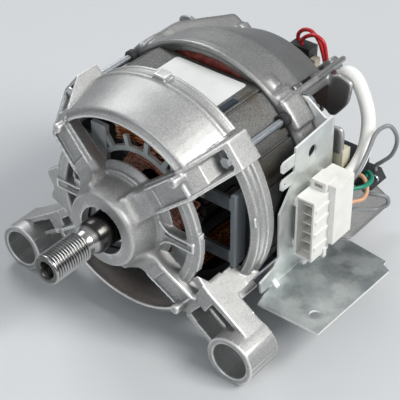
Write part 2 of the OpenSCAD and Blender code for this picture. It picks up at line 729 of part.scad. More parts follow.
module bearing_inner(in_r, out_r, y0) {
    p = pitch_r(in_r, out_r);
    b = ball_r(in_r, out_r);
    difference() {
        turned() polygon([[in_r, y0 + 0.4], [in_r + 0.4, y0], [p - b * 0.55, y0], [p - b * 0.55, y0 + bearing_w],
                          [in_r + 0.4, y0 + bearing_w], [in_r, y0 + bearing_w - 0.4]]);
        turned() translate([p, y0 + bearing_w / 2]) circle(r = b + 0.05, $fn = 48);
    }
}

module bearing_balls(in_r, out_r, y0) {
    for (i = [0:ball_count - 1]) at_angle(i * 360 / ball_count)
        translate([pitch_r(in_r, out_r), y0 + bearing_w / 2, 0]) sphere(r = ball_r(in_r, out_r), $fn = 32);
}

module bearing_cage(in_r, out_r, y0) {
    p = pitch_r(in_r, out_r);
    b = ball_r(in_r, out_r);
    mid = y0 + bearing_w / 2;
    difference() {
        turned() polygon([[p - 0.6, mid - b - 0.5], [p + 0.6, mid - b - 0.5], [p + 0.6, mid + b + 0.5],
                          [p - 0.6, mid + b + 0.5]]);
        for (i = [0:ball_count - 1]) at_angle(i * 360 / ball_count)
            translate([p - 2, mid, 0]) rotate([0, 90, 0]) cylinder(h = 4, r = b + 0.05);
    }
}

module wave_washer() {
    color("dimgray") turned() polygon([[14.4, front_bearing_y - washer_t], [17.2, front_bearing_y - washer_t],
                                       [17.2, front_bearing_y], [14.4, front_bearing_y]]);
}

module front_bearing_outer() {
    color("lightsteelblue") bearing_outer(front_journal_r, front_bearing_r, front_bearing_y, true);
}

module front_bearing_inner() {
    color("silver") bearing_inner(front_journal_r, front_bearing_r, front_bearing_y);
}

module front_bearing_balls() {
    color("white") bearing_balls(front_journal_r, front_bearing_r, front_bearing_y);
}

module front_bearing_cage() {
    color("goldenrod") bearing_cage(front_journal_r, front_bearing_r, front_bearing_y);
}

module rear_bearing_outer() {
    color("lightsteelblue") bearing_outer(rear_journal_r, rear_bearing_r, rear_bearing_y, false);
}

module rear_bearing_inner() {
    color("silver") bearing_inner(rear_journal_r, rear_bearing_r, rear_bearing_y);
}

module rear_bearing_balls() {
    color("white") bearing_balls(rear_journal_r, rear_bearing_r, rear_bearing_y);
}

module rear_bearing_cage() {
    color("goldenrod") bearing_cage(rear_journal_r, rear_bearing_r, rear_bearing_y);
}

// Shaft values
ribs_start_y = -tip_reach + 1.2;
ribs_end_y = ribs_start_y + rib_count * rib_pitch;
neck_r = pulley_r - 1.2;
core_seat_r = 9;
core_y = stack_front_y;
magnet_y = 154.5;
magnet_len = 6;
stub_r = 4;

module shaft() {
    color("dimgray") turned() polygon(concat(
        [[0, -tip_reach + tip_hole_depth], [tip_hole_r, -tip_reach + tip_hole_depth - 2],
         [tip_hole_r, -tip_reach + 1], [tip_hole_r + 1, -tip_reach], [pulley_r - 0.6, -tip_reach],
         [pulley_r, -tip_reach + 0.6], [pulley_r, ribs_start_y]],
        [for (i = [0:rib_count - 1]) each [[pulley_r - rib_depth, ribs_start_y + (i + 0.42) * rib_pitch],
                                           [pulley_r - rib_depth, ribs_start_y + (i + 0.58) * rib_pitch],
                                           [pulley_r, ribs_start_y + (i + 0.94) * rib_pitch],
                                           [pulley_r, ribs_start_y + (i + 1) * rib_pitch]]],
        [[pulley_r - 0.4, ribs_end_y + 0.4], [neck_r, ribs_end_y + 0.6], [neck_r, ribs_end_y + 4.2],
         [front_journal_r, ribs_end_y + 8.4], [front_journal_r, front_bearing_y + bearing_w],
         [front_journal_r + 2, front_bearing_y + bearing_w], [front_journal_r + 2, 32], [core_seat_r, 32],
         [core_seat_r, commutator_end_y], [7.5, commutator_end_y], [7.5, rear_bearing_y],
         [rear_journal_r, rear_bearing_y], [rear_journal_r, rear_bearing_y + bearing_w],
         [stub_r, rear_bearing_y + bearing_w], [stub_r, magnet_y + magnet_len - 0.4],
         [stub_r - 0.4, magnet_y + magnet_len], [0, magnet_y + magnet_len]]));
}

// Rotor stamping with its closed-in slots
module rotor_core() {
    color("slategray") along_y(core_y, stack_rear_y) difference() {
        circle(r = rotor_r);
        circle(r = core_seat_r);
        for (i = [0:rotor_slots - 1]) rotate(i * 360 / rotor_slots) {
            translate([rotor_r - 5.6, 0]) circle(r = 1.9, $fn = 24);
            translate([rotor_r - 6, -0.7]) square([7, 1.4]);
        }
    }
}

// Lacquered end windings in front of and behind the rotor iron
module rotor_winding() {
    color("brown") {
        turned() polygon(concat([[core_seat_r, core_y]], [[core_seat_r, core_y - 9]],
            arc_points(19.4, core_y - 6.4, 6, -150, 0, 8), [[25.4, core_y]]));
        turned() polygon(concat([[core_seat_r, stack_rear_y], [25.4, stack_rear_y]],
            arc_points(19.4, stack_rear_y + 7.6, 6, 0, 80, 6), [[15.5, commutator_y - 6], [core_seat_r, commutator_y - 6]]));
    }
}

// Copper bars on a moulded sleeve, each with its riser
module commutator() {
    color("chocolate") difference() {
        turned() polygon([[core_seat_r, commutator_y - 5], [commutator_r + 3, commutator_y - 5],
                          [commutator_r + 3, commutator_y - 1], [commutator_r, commutator_y],
                          [commutator_r, commutator_end_y], [core_seat_r, commutator_end_y]]);
        for (i = [0:commutator_bars - 1]) at_angle((i + 0.5) * 360 / commutator_bars)
            block([commutator_r - 2, commutator_y - 6, -0.3], [commutator_r + 4, commutator_end_y + cut, 0.3]);
    }
}

module tacho_magnet() {
    color("black") turned() polygon([[stub_r, magnet_y], [9.4, magnet_y], [10, magnet_y + 0.6],
        [10, magnet_y + magnet_len - 0.6], [9.4, magnet_y + magnet_len], [stub_r, magnet_y + magnet_len]]);
}

// Tacho coil in its cup on the rear hub, with the terminal tower on top
tacho_out_r = 15.5;
tacho_in_r = 11;
tacho_y = 153;
tacho_end_y = 165;
tower_x = 11;
tower_z = 31.5;

module tacho_housing() {
    color("black") {
        turned() polygon([[tacho_in_r, tacho_y], [tacho_out_r, tacho_y], [tacho_out_r, tacho_end_y - 1.5],
                          [tacho_out_r - 1.5, tacho_end_y], [3.5, tacho_end_y], [3.5, tacho_end_y - 1.8],
                          [tacho_in_r, tacho_end_y - 1.8]]);
        difference() {
            block([-2, tacho_y, 14], [tower_x, tacho_y + 8, tower_z]);
            block([tower_x - 4, tacho_y + 1, 20.4], [tower_x + cut, tacho_y + 5, 25.6]);
        }
        both_sides() difference() {
            block([14, tacho_y, -3], [21, tacho_y + 2, 3]);
            rod_y(1.3, tacho_y - cut, tacho_y + 3, 18.2, 0);
        }
    }
}

// Plug pushed into the side of the tacho tower
module tacho_plug() {
    color("ivory") {
        block([tower_x - 3.6, tacho_y + 1.2, 20.6], [tower_x, tacho_y + 4.8, 25.4]);
        block([tower_x, tacho_y + 0.6, 19.8], [tower_x + 3.5, tacho_y + 5.4, 26.2]);
    }
}

// Brush gear on the right: moulded holder with a brass box for the brush
brush_w = 12.5;
brush_t = 5;
brush_in_x = commutator_r + 0.15;
brush_len = 30;
holder_in_x = commutator_r + 2.2;
holder_out_x = 68;
holder_half_w = brush_w / 2 + 3.4;
holder_half_t = brush_t / 2 + 4;
box_gap = 0.2;
spring_r = 2;

module brush_holder() {
    difference() {
        union() {
            block([holder_in_x, brush_y - holder_half_w, -holder_half_t],
                  [holder_out_x, brush_y + holder_half_w, holder_half_t]);
            // foot down to the ring, with two screw ears
            block([52, rear_ring_end_y, -17], [61, rear_ring_end_y + 4, 17]);
            block([52.5, rear_ring_end_y, -holder_half_t], [60.5, brush_y, holder_half_t]);
            // terminal shelf with its upturned corner
            along_y(brush_y + 2, brush_y + holder_half_w + 6)
                polygon([[46, -holder_half_t + 1], [72, -holder_half_t + 1], [75.5, -holder_half_t - 4],
                         [71, -holder_half_t - 7], [46, -holder_half_t - 2]]);
        }
        block([holder_in_x - cut, brush_y - brush_w / 2 - box_gap, -brush_t / 2 - box_gap],
              [holder_out_x - 3, brush_y + brush_w / 2 + box_gap, brush_t / 2 + box_gap]);
        for (z = [-14, 14]) rod_y(1.7, rear_ring_end_y - cut, rear_ring_end_y + 5, 57.5, z);
    }
}

module brush_holder_right() {
    color("black") brush_holder();
}

module brush_holder_left() {
    color("black") mirror([1, 0, 0]) brush_holder();
}

module brush() {
    difference() {
        block([brush_in_x - 1, brush_y - brush_w / 2, -brush_t / 2], [brush_in_x + brush_len, brush_y + brush_w / 2, brush_t / 2]);
        rod_y(commutator_r + 0.15, commutator_y - cut, commutator_end_y + cut);
    }
}

module brush_right() {
    color("darkslategray") brush();
}

module brush_left() {
    color("darkslategray") mirror([1, 0, 0]) brush();
}

// Pressure spring between the brush and the end of its box
spring_in_x = brush_in_x + brush_len;
spring_out_x = holder_out_x - 3;
spring_turns = 7;
spring_wire_r = 0.35;
spring_path = [for (i = [0:spring_turns * 8])
    let (u = i / (spring_turns * 8), a = i * 45)
    [spring_in_x + spring_wire_r + u * (spring_out_x - spring_in_x - 2 * spring_wire_r),
     brush_y + spring_r * cos(a), spring_r * sin(a)]];

module brush_spring() {
    rings = [for (i = [0:len(spring_path) - 1]) let (c = spring_path[i])
        ring_points(c, path_dir(spring_path, i), unit([0, c[1] - brush_y, c[2]]), spring_wire_r, 6)];
    tube_of_rings(rings, 6);
}

module brush_spring_right() {
    color("silver") brush_spring();
}

module brush_spring_left() {
    color("silver") mirror([1, 0, 0]) brush_spring();
}

// Galvanised bracket beside the motor
plate_rear_y = 100;
foot_dimple_y = [47.9, 70.9];

module plate_yz(x0, x1) {
    translate([x0, 0, 0]) rotate([90, 0, 90]) linear_extrude(x1 - x0) children();
}

module spade_tab(z, y_front, y_rear) {
    plate_yz(plate_x - sheet_t + 0.2, plate_x - 0.2)
        polygon([[y_rear, z - tab_w / 2], [y_front + 1.6, z - tab_w / 2], [y_front, z - tab_w / 2 + 1.4],
                 [y_front, z + tab_w / 2 - 1.4], [y_front + 1.6, z + tab_w / 2], [y_rear, z + tab_w / 2]]);
}

module connector_bracket() {
    color("silver") {
        difference() {
            union() {
                plate_yz(plate_x - sheet_t, plate_x)
                    polygon([[68.4, 36.9], [98.9, 39.1], [plate_rear_y, 37], [plate_rear_y, foot_z - sheet_t],
                             [51.8, foot_z - sheet_t], [50.6, foot_z + 0.7], [43.9, -35.3], [43, -28.5],
                             [54.7, -26.1], [57.8, -22.2], [56.9, 4.7], [67.6, 18.2]]);
                spade_tab(30.6, 57.3, 69);
                spade_tab(20.7, 57.3, 69);
            }
            translate([plate_x - 5, 82.2, 28.2]) rotate([0, 90, 0]) cylinder(h = 10, r = bracket_hole_r);
            for (z = [30.6, 20.7]) translate([plate_x - 5, 60.4, z]) rotate([0, 90, 0]) cylinder(h = 10, r = 0.8, $fn = 24);
        }
        // foot plate
        difference() {
            translate([0, 0, foot_z - sheet_t]) linear_extrude(sheet_t)
                polygon([[plate_x - sheet_t, 51.8], [plate_x + 2.5, 37.6], [plate_x + 37.4, 38], [plate_x + 38.8, 97.9],
                         [plate_x + 34, 100.2], [plate_x + 33.5, 103.2], [plate_x + 10.5, 105.9],
                         [plate_x - sheet_t, plate_rear_y]]);
            translate([plate_x + 28.9, 48.4, foot_z - 5]) cylinder(h = 10, r = bracket_hole_r);
        }
        // stiffening dimples in the fold
        for (y = foot_dimple_y) translate([plate_x, y + 6, foot_z]) rotate([0, 45, 0])
            cube([4.4, 3, 4.4], center = true);
        // ear turned in behind the shield's lug
        difference() {
            union() {
                along_y(rear_lug_y, rear_lug_y + sheet_t)
                    polygon([[plate_x - 3, 38.6], [plate_x - 3, 20], [bolt_x + 8.6, 22], [bolt_x + 2.6, 25.5],
                             [bolt_x - 3.4, 40], [bolt_x - 1.8, 45.4], [bolt_x + 1.6, 45.9]]);
                translate([plate_x - 3, rear_lug_y + 3.2, 0]) intersection() {
                    difference() {
                        translate([0, 0, 20]) cylinder(h = 18.6, r = 3.2);
                        translate([0, 0, 19]) cylinder(h = 21, r = 2);
                    }
                    translate([0, -6, 0]) cube([6, 6, 60]);
                }
            }
            rod_y(bolt_r + 0.6, rear_lug_y - cut, rear_lug_y + 3, bolt_x, bolt_z);
        }
    }
}

// Screws that hold the bracket's ear and the brush holders
module bracket_screws() {
    color("gainsboro") {
        rod_y(4.2, rear_lug_y + sheet_t, rear_lug_y + sheet_t + 3, bolt_x, bolt_z);
        both_sides() for (z = [-14, 14]) {
            rod_y(1.5, rear_ring_end_y - 7, rear_ring_end_y + 4, 57.5, z);
            rod_y(2.8, rear_ring_end_y + 4, rear_ring_end_y + 6.2, 57.5, z);
        }
    }
}

// Connector values
mouth_x = plate_x + 2.4;
mouth_y = 66.5;
mouth_z = -24;
front_len = 14.5;
rear_block_x = plate_x + 3.4;
rear_block_out_x = plate_x + 16.4;
rear_block_end_y = 95;
housing_wall = 1.2;
way_pitch = (mouth_h - 2 * housing_wall) / ways;

module connector_housing() {
    color("ivory") difference() {
        union() {
            block([mouth_x, mouth_y, mouth_z], [mouth_x + mouth_w, mouth_y + front_len, mouth_z + mouth_h]);
            block([rear_block_x, mouth_y + 12.5, -19], [rear_block_out_x, rear_block_end_y, 15.5]);
            // latch bridge over the top
            block([mouth_x + 1, 77, 11], [mouth_x + 9.5, 87, 16.6]);
            // feet that clip to the bracket
            for (y = [80, 90], z = [-14, 8]) block([plate_x, y, z], [mouth_x + 2, y + 3, z + 4]);
            block([plate_x, 68, -20], [mouth_x + 1, 71, -16]);
            block([plate_x, 68, 4], [mouth_x + 1, 71, 8]);
            // foot under the right face
            block([mouth_x + mouth_w - 2, mouth_y + 9.5, mouth_z - 2.6], [mouth_x + mouth_w + 0.8, mouth_y + 12, mouth_z + 3]);
            // ribs on the right face
            for (z = [-16.5, -8.5, -1, 6]) block([mouth_x + mouth_w - cut, mouth_y + 1.4, z - 1],
                                                 [mouth_x + mouth_w + 0.7, mouth_y + front_len - 1, z + 1]);
        }
        block([mouth_x + housing_wall, mouth_y - cut, mouth_z + housing_wall],
              [mouth_x + mouth_w - housing_wall, mouth_y + 5, mouth_z + mouth_h - housing_wall]);
        for (i = [0:ways - 1]) block([mouth_x + housing_wall, mouth_y - cut, mouth_z + housing_wall + i * way_pitch + 0.4],
              [mouth_x + mouth_w - housing_wall, mouth_y + 13, mouth_z + housing_wall + (i + 1) * way_pitch - 0.4]);
        block([mouth_x + 3, 76, 13], [mouth_x + 7.6, 88, 15]);
    }
}

// Blades in the ways
module connector_terminals() {
    color("goldenrod") for (i = [0:ways - 1]) {
        z = mouth_z + housing_wall + (i + 0.5) * way_pitch;
        block([mouth_x + mouth_w / 2 - 2.2, mouth_y + 8, z - 0.4], [mouth_x + mouth_w / 2 + 2.2, mouth_y + 13, z + 0.4]);
    }
}

// Routes of the sleeve and the leads
sleeve_route = [[43.5, 134, 35], [47.5, 132.5, 41.5], [53, 132.3, 40.5], [58.5, 131, 34.5], [64, 128, 27],
                [67, 124.5, 19.5], [70, 117, 12.5], [71.5, 108, 8.5], [72, 101, 7.5], [72, 95, 7.5]];
grey_long_route = [[77, 95, 10.6], [77, 100, 10.6], [76, 110, 16.5], [75, 119, 24], [78, 125, 26.3],
                   [80.8, 128, 21.5], [81, 129.5, 14.4], [78.5, 129.8, 6.4], [74, 129, 0.8], [71, 128.5, -2.5],
                   [71, 128.5, -5.5]];
grey_loop_route = [[76.5, 95, -12], [76.5, 102, -12], [78.5, 110, -16], [81.5, 115.5, -17.5], [85, 119, -15],
                   [84.4, 119, -11], [80.5, 115.5, -9], [76.4, 113.8, -9], [73.2, 115, -9], [72.5, 117, -9],
                   [72.5, 119, -9]];
green_route = [[74, 95, 0], [74, 100, 0], [77.3, 107, -0.5], [77.6, 113, -1], [75.5, 117.5, -1.2],
               [72, 120, -1.6], [70, 121, -3.2], [70, 121, -5.5]];
peach_route = [[76, 95, -6], [76, 99, -6], [78.8, 104, -6], [78, 109.5, -5.5], [75.5, 113, -3], [72, 114.5, -1],
               [68, 114.5, -1]];
red_routes = [[[0, 158.5, 31.5], [0, 158.5, 35], [3, 158.5, 38.5], [8, 158.5, 39.5], [13, 158.5, 35.5],
               [16, 158.5, 29], [18, 158.5, 23.5], [23, 158, 20.5], [30, 154, 20.5], [35, 146, 22],
               [39, 139, 26], [42.8, 134.75, 30.95], [44.8, 134, 34.2]],
              [[4.5, 155.5, 31.5], [4.5, 155.5, 34.5], [8, 155.5, 38], [13, 155.5, 39.8], [18, 155.5, 37.5],
               [20, 155.5, 31], [21, 155.5, 27], [25, 156, 24.5], [30, 153, 23.5], [33.5, 146, 25.5],
               [37, 139, 28.5], [40.2, 134.75, 32.55], [42.2, 134, 35.8]]];

module lead_along(route, d, n) {
    smooth = [for (i = [0:len(route) - 2]) for (f = [0, 0.5]) spline(route, i, f)];
    path = concat(smooth, [route[len(route) - 1]]);
    rings = [for (i = [0:len(path) - 1])
        let (t = i == 0 ? unit(route[1] - route[0])
                 : i == len(path) - 1 ? unit(route[len(route) - 1] - route[len(route) - 2]) : path_dir(path, i))
        ring_points(path[i], t, unit(cross(t, [0.31, 0.2, 0.93])), d / 2, n)];
    tube_of_rings(rings, n);
}

// Curve through the route's points
function spline(p, i, f) = let (
        a = p[max(i - 1, 0)], b = p[i], c = p[min(i + 1, len(p) - 1)], d = p[min(i + 2, len(p) - 1)])
    0.5 * (2 * b + (c - a) * f + (2 * a - 5 * b + 4 * c - d) * f * f + (3 * b - a - 3 * c + d) * f * f * f);

module loom_sleeve() {
    color("gainsboro") lead_along(sleeve_route, sleeve_d, 12);
}

module lead_grey_long() {
    color("gray") lead_along(grey_long_route, lead_d, 8);
}

module lead_grey_loop() {
    color("gray") lead_along(grey_loop_route, lead_d, 8);
}

module lead_green() {
    color("seagreen") lead_along(green_route, lead_d, 8);
}

module lead_peach() {
    color("peachpuff") lead_along(peach_route, lead_d, 8);
}

module leads_red() {
    color("crimson") for (route = red_routes) lead_along(route, lead_d, 8);
}

front_shield();
rear_shield();
stator_core();
field_coil_top();
field_coil_bottom();
coil_frame_front();
coil_frame_rear();
coil_wraps();
tie_bolts();
wave_washer();
front_bearing_outer();
front_bearing_inner();
front_bearing_balls();
front_bearing_cage();
rear_bearing_outer();
rear_bearing_inner();
rear_bearing_balls();
rear_bearing_cage();
shaft();
rotor_core();
rotor_winding();
commutator();
tacho_magnet();
tacho_housing();
tacho_plug();
brush_holder_right();
brush_holder_left();
brush_right();
brush_left();
brush_spring_right();
brush_spring_left();
connector_bracket();
bracket_screws();
connector_housing();
connector_terminals();
loom_sleeve();
lead_grey_long();
lead_grey_loop();
lead_green();
lead_peach();
leads_red();
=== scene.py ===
"""Looks of a washing machine drum motor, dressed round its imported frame.

The frame gives every metal and plastic piece at its real size. This script rounds the castings together with
the small forms that are cast with them, turns the shaft and the tie bolts, winds the coils with fine wire,
makes the leads smooth, and gives every surface its finish.
"""

import json
import logging
import math
import random
from dataclasses import dataclass, field
from enum import Enum, IntEnum
from typing import Callable, Iterable, Sequence

import bmesh
import bpy
from mathutils import Matrix, Vector

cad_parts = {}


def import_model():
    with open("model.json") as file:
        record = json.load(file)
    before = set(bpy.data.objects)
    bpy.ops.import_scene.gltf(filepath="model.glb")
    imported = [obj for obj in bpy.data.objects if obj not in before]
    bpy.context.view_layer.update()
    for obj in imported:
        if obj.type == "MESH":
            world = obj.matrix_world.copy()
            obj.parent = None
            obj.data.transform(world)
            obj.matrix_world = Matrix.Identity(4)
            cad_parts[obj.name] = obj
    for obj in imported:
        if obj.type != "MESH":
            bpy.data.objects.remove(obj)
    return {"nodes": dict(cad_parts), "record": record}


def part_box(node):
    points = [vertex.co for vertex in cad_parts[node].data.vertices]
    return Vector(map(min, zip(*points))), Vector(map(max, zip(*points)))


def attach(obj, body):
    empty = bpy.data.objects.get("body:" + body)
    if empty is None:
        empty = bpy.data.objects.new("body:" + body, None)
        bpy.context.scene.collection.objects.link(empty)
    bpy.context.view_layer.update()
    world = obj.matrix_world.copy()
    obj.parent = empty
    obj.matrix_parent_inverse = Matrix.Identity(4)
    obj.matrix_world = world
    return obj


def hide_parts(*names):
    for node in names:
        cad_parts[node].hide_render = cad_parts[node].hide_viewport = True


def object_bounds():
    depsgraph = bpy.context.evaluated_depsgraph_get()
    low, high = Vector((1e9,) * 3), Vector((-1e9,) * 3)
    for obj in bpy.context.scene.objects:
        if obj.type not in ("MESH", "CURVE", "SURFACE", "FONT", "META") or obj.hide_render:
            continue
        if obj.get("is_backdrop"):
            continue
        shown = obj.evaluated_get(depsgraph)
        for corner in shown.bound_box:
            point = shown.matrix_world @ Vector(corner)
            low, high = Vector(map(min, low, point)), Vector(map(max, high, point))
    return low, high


log = logging.getLogger("motor")

Colour = tuple[float, float, float, float]
Span = tuple[float, float]
Point = tuple[float, float, float]
Outline = tuple[Span, ...]
Socket = bpy.types.NodeSocket
Material = bpy.types.Material
Mesh = bpy.types.Mesh
Thing = bpy.types.Object
Solid = bmesh.types.BMesh

MM = 0.001
MERGE_MM = 0.0005
RIGHT = (1, 0, 0)
UP = (0, 0, 1)

# Phase that a Wave texture of scale 1 gains over one metre, in radians
WAVE_TURN = 20

# Ranges that most of a noise pattern lies in, and its octaves on lumps and on grain
WIDE_NOISE = (0.3, 0.7)
MID_NOISE = (0.35, 0.65)
SOFT_DETAIL = 2
FINE_DETAIL = 4

# Places of a form: as drawn, mirrored to the other side, and with its outline turned across the shaft
HERE = Matrix.Identity(4)
MIRROR_X = Matrix.Scale(-1, 4, (1, 0, 0))
SIDES = (HERE, MIRROR_X)
ALONG_SHAFT = Matrix.Rotation(math.radians(90), 4, "X")


def rgb(red: float, green: float, blue: float) -> Colour:
    """Colour with full alpha."""
    return (red, green, blue, 1.0)


def mm(*values: float) -> Vector:
    """Point or direction given in millimetres."""
    return Vector(values) * MM


class Body(Enum):
    """Rigid bodies of the frame that pieces ride on."""

    FRAME = "frame"
    ROTOR = "rotor"


class Axis(Enum):
    """Axes of the motor. The shaft lies along Y."""

    X = "X"
    Y = "Y"
    Z = "Z"


class Maths(Enum):
    """Arithmetic that the finishes use, with its name in the Math node."""

    PLUS = "ADD"
    MINUS = "SUBTRACT"
    TIMES = "MULTIPLY"
    LARGER = "MAXIMUM"
    SIZE = "ABSOLUTE"


class Pole(IntEnum):
    """Poles of the stator, by their way up from the shaft."""

    TOP = 1
    BOTTOM = -1


class End(IntEnum):
    """Ends of the rotor iron, by their way along the shaft."""

    FRONT = -1
    REAR = 1


class Graph:
    """Shader graph of one material, with short calls for the nodes that the finishes share."""

    def __init__(self, name: str) -> None:
        """Starts a material with a Principled shader.

        Args:
            name: Name of the material.
        """
        self.material = bpy.data.materials.new(name)
        self.material.use_nodes = True
        self.tree = self.material.node_tree
        self.shader = self.tree.nodes["Principled BSDF"]

    def node(self, kind: str, **settings: object) -> bpy.types.Node:
        """Adds a node.

        Args:
            kind: Name of the node's type, without its ShaderNode start.
            settings: Properties to set on it.

        Returns:
            The new node.
        """
        made = self.tree.nodes.new("ShaderNode" + kind)
        for key, value in settings.items():
            setattr(made, key, value)
        return made

    def feed(self, socket: Socket, value: object) -> None:
        """Links a socket to an output, or sets its constant.

        Args:
            socket: Input to feed.
            value: Output to link, or a constant.
        """
        if isinstance(value, bpy.types.NodeSocket):
            self.tree.links.new(value, socket)
        else:
            socket.default_value = value

    def place(self, stretch: Point = (1, 1, 1)) -> Socket:
        """Object coordinates.

        Args:
            stretch: Scale along each axis.

        Returns:
            The stretched coordinates.
        """
        mapping = self.node("Mapping")
        mapping.inputs["Scale"].default_value = stretch
        self.feed(mapping.inputs["Vector"], self.node("TexCoord").outputs["Object"])
        return mapping.outputs["Vector"]

    def noise(self, size_mm: float, detail: float = 3, stretch: Point = (1, 1, 1)) -> Socket:
        """Cloud pattern with features of about a given size.

        Args:
            size_mm: Size of one feature in millimetres.
            detail: Octaves of finer detail.
            stretch: Scale along each axis.

        Returns:
            The pattern's value, around 0.5.
        """
        made = self.node("TexNoise")
        made.inputs["Scale"].default_value = 1 / (size_mm * MM)
        made.inputs["Detail"].default_value = detail
        self.feed(made.inputs["Vector"], self.place(stretch))
        return made.outputs["Fac"]

    def cells(self, size_mm: float) -> Socket:
        """Crystal-like pattern in which each cell has its own grey.

        Args:
            size_mm: Size of one cell in millimetres.

        Returns:
            The cell's value, from 0 to 1.
        """
        made = self.node("TexVoronoi")
        made.inputs["Scale"].default_value = 1 / (size_mm * MM)
        self.feed(made.inputs["Vector"], self.place())
        split = self.node("SeparateColor")
        self.feed(split.inputs["Color"], made.outputs["Color"])
        return split.outputs["Red"]

    def bands(self, pitch_mm: float, axis: Axis) -> Socket:
        """Even bands across one axis.

        Args:
            pitch_mm: Distance from band to band in millimetres.
            axis: Axis that they follow each other along.

        Returns:
            The pattern's value, from 0 to 1.
        """
        made = self.node("TexWave", bands_direction=axis.value)
        made.inputs["Scale"].default_value = math.tau / (WAVE_TURN * pitch_mm * MM)
        made.inputs["Distortion"].default_value = 0
        self.feed(made.inputs["Vector"], self.place())
        return made.outputs["Fac"]

    def span(self, value: object, source: Span, target: Span = (0, 1)) -> Socket:
        """Maps one range of a value onto another, clamped.

        Args:
            value: Value to map.
            source: Range that it is read in.
            target: Range that it is written in.

        Returns:
            The mapped value.
        """
        made = self.node("MapRange")
        self.feed(made.inputs["Value"], value)
        for key, given in zip(("From Min", "From Max", "To Min", "To Max"), (*source, *target)):
            made.inputs[key].default_value = given
        return made.outputs["Result"]

    def ramp(self, place: Socket, start_mm: float, end_mm: float, share: float = 1) -> Socket:
        """Value that grows from 0 between two places.

        Args:
            place: Distance in metres, such as the place along an axis.
            start_mm: Where it is still 0, in millimetres.
            end_mm: Where it is full.
            share: Its full value.

        Returns:
            The growing value.
        """
        return self.span(place, (start_mm * MM, end_mm * MM), (0, share))

    def maths(self, operation: Maths, first: object, second: object = 0.0) -> Socket:
        """Arithmetic of two values.

        Args:
            operation: What to do with them.
            first: First value.
            second: Second value, where the operation has one.

        Returns:
            The result.
        """
        made = self.node("Math", operation=operation.value)
        self.feed(made.inputs[0], first)
        self.feed(made.inputs[1], second)
        return made.outputs[0]

    def plus(self, first: object, second: object) -> Socket:
        """Sum of two values."""
        return self.maths(Maths.PLUS, first, second)

    def times(self, first: object, second: object) -> Socket:
        """Product of two values."""
        return self.maths(Maths.TIMES, first, second)

    def mix(self, share: object, first: object, second: object) -> Socket:
        """Blends two colours.

        Args:
            share: Share of the second colour.
            first: First colour.
            second: Second colour.

        Returns:
            The blend.
        """
        made = self.node("Mix", data_type="RGBA")
        self.feed(made.inputs["Factor"], share)
        self.feed(made.inputs[6], first)
        self.feed(made.inputs[7], second)
        return made.outputs[2]

    def bump(self, height: Socket, depth_mm: float, under: Socket | None = None) -> Socket:
        """Surface relief.

        Args:
            height: Pattern from 0 to 1.
            depth_mm: Height of the relief in millimetres.
            under: Relief that this one lies on.

        Returns:
            The bent normal.
        """
        made = self.node("Bump")
        made.inputs["Strength"].default_value = 1
        made.inputs["Distance"].default_value = depth_mm * MM
        self.feed(made.inputs["Height"], height)
        if under is not None:
            self.feed(made.inputs["Normal"], under)
        return made.outputs["Normal"]

    def facing(self, way: Point) -> Socket:
        """How far a surface faces a way.

        Args:
            way: Direction on the object, of length 1.

        Returns:
            The value, from -1 to 1.
        """
        dot = self.node("VectorMath", operation="DOT_PRODUCT")
        self.feed(dot.inputs[0], self.node("TexCoord").outputs["Normal"])
        dot.inputs[1].default_value = way
        return dot.outputs["Value"]

    def along(self, axis: Axis) -> Socket:
        """Place along one axis of the object.

        Args:
            axis: The axis.

        Returns:
            The place in metres.
        """
        split = self.node("SeparateXYZ")
        self.feed(split.inputs[0], self.node("TexCoord").outputs["Object"])
        return split.outputs[axis.value]

    def radius(self) -> Socket:
        """Distance from the shaft axis.

        Returns:
            The distance in metres.
        """
        length = self.node("VectorMath", operation="LENGTH")
        self.feed(length.inputs[0], self.place((1, 0, 1)))
        return length.outputs["Value"]

    def edge(self) -> Socket:
        """Pointiness of the surface: over 0.5 on edges and under it in corners."""
        return self.node("NewGeometry").outputs["Pointiness"]

    def finish(self, colour: object, roughness: object, metal: object = 0.0,
               normal: Socket | None = None, **constants: float) -> Material:
        """Feeds the shader.

        Args:
            colour: Base colour, constant or linked.
            roughness: Roughness, constant or linked.
            metal: Metallic share, constant or linked.
            normal: Bent normal.
            constants: Other shader inputs by name, with underscores for spaces.

        Returns:
            The finished material.
        """
        self.feed(self.shader.inputs["Base Color"], colour)
        self.feed(self.shader.inputs["Roughness"], roughness)
        self.feed(self.shader.inputs["Metallic"], metal)
        if normal is not None:
            self.feed(self.shader.inputs["Normal"], normal)
        for key, value in constants.items():
            self.shader.inputs[key.replace("_", " ")].default_value = value
        return self.material


@dataclass(frozen=True)
class Finish:
    """One finish, known by the name of its material."""

    name: str

    def build(self) -> Material:
        """Makes the material. Each kind of finish has its own way."""
        raise NotImplementedError


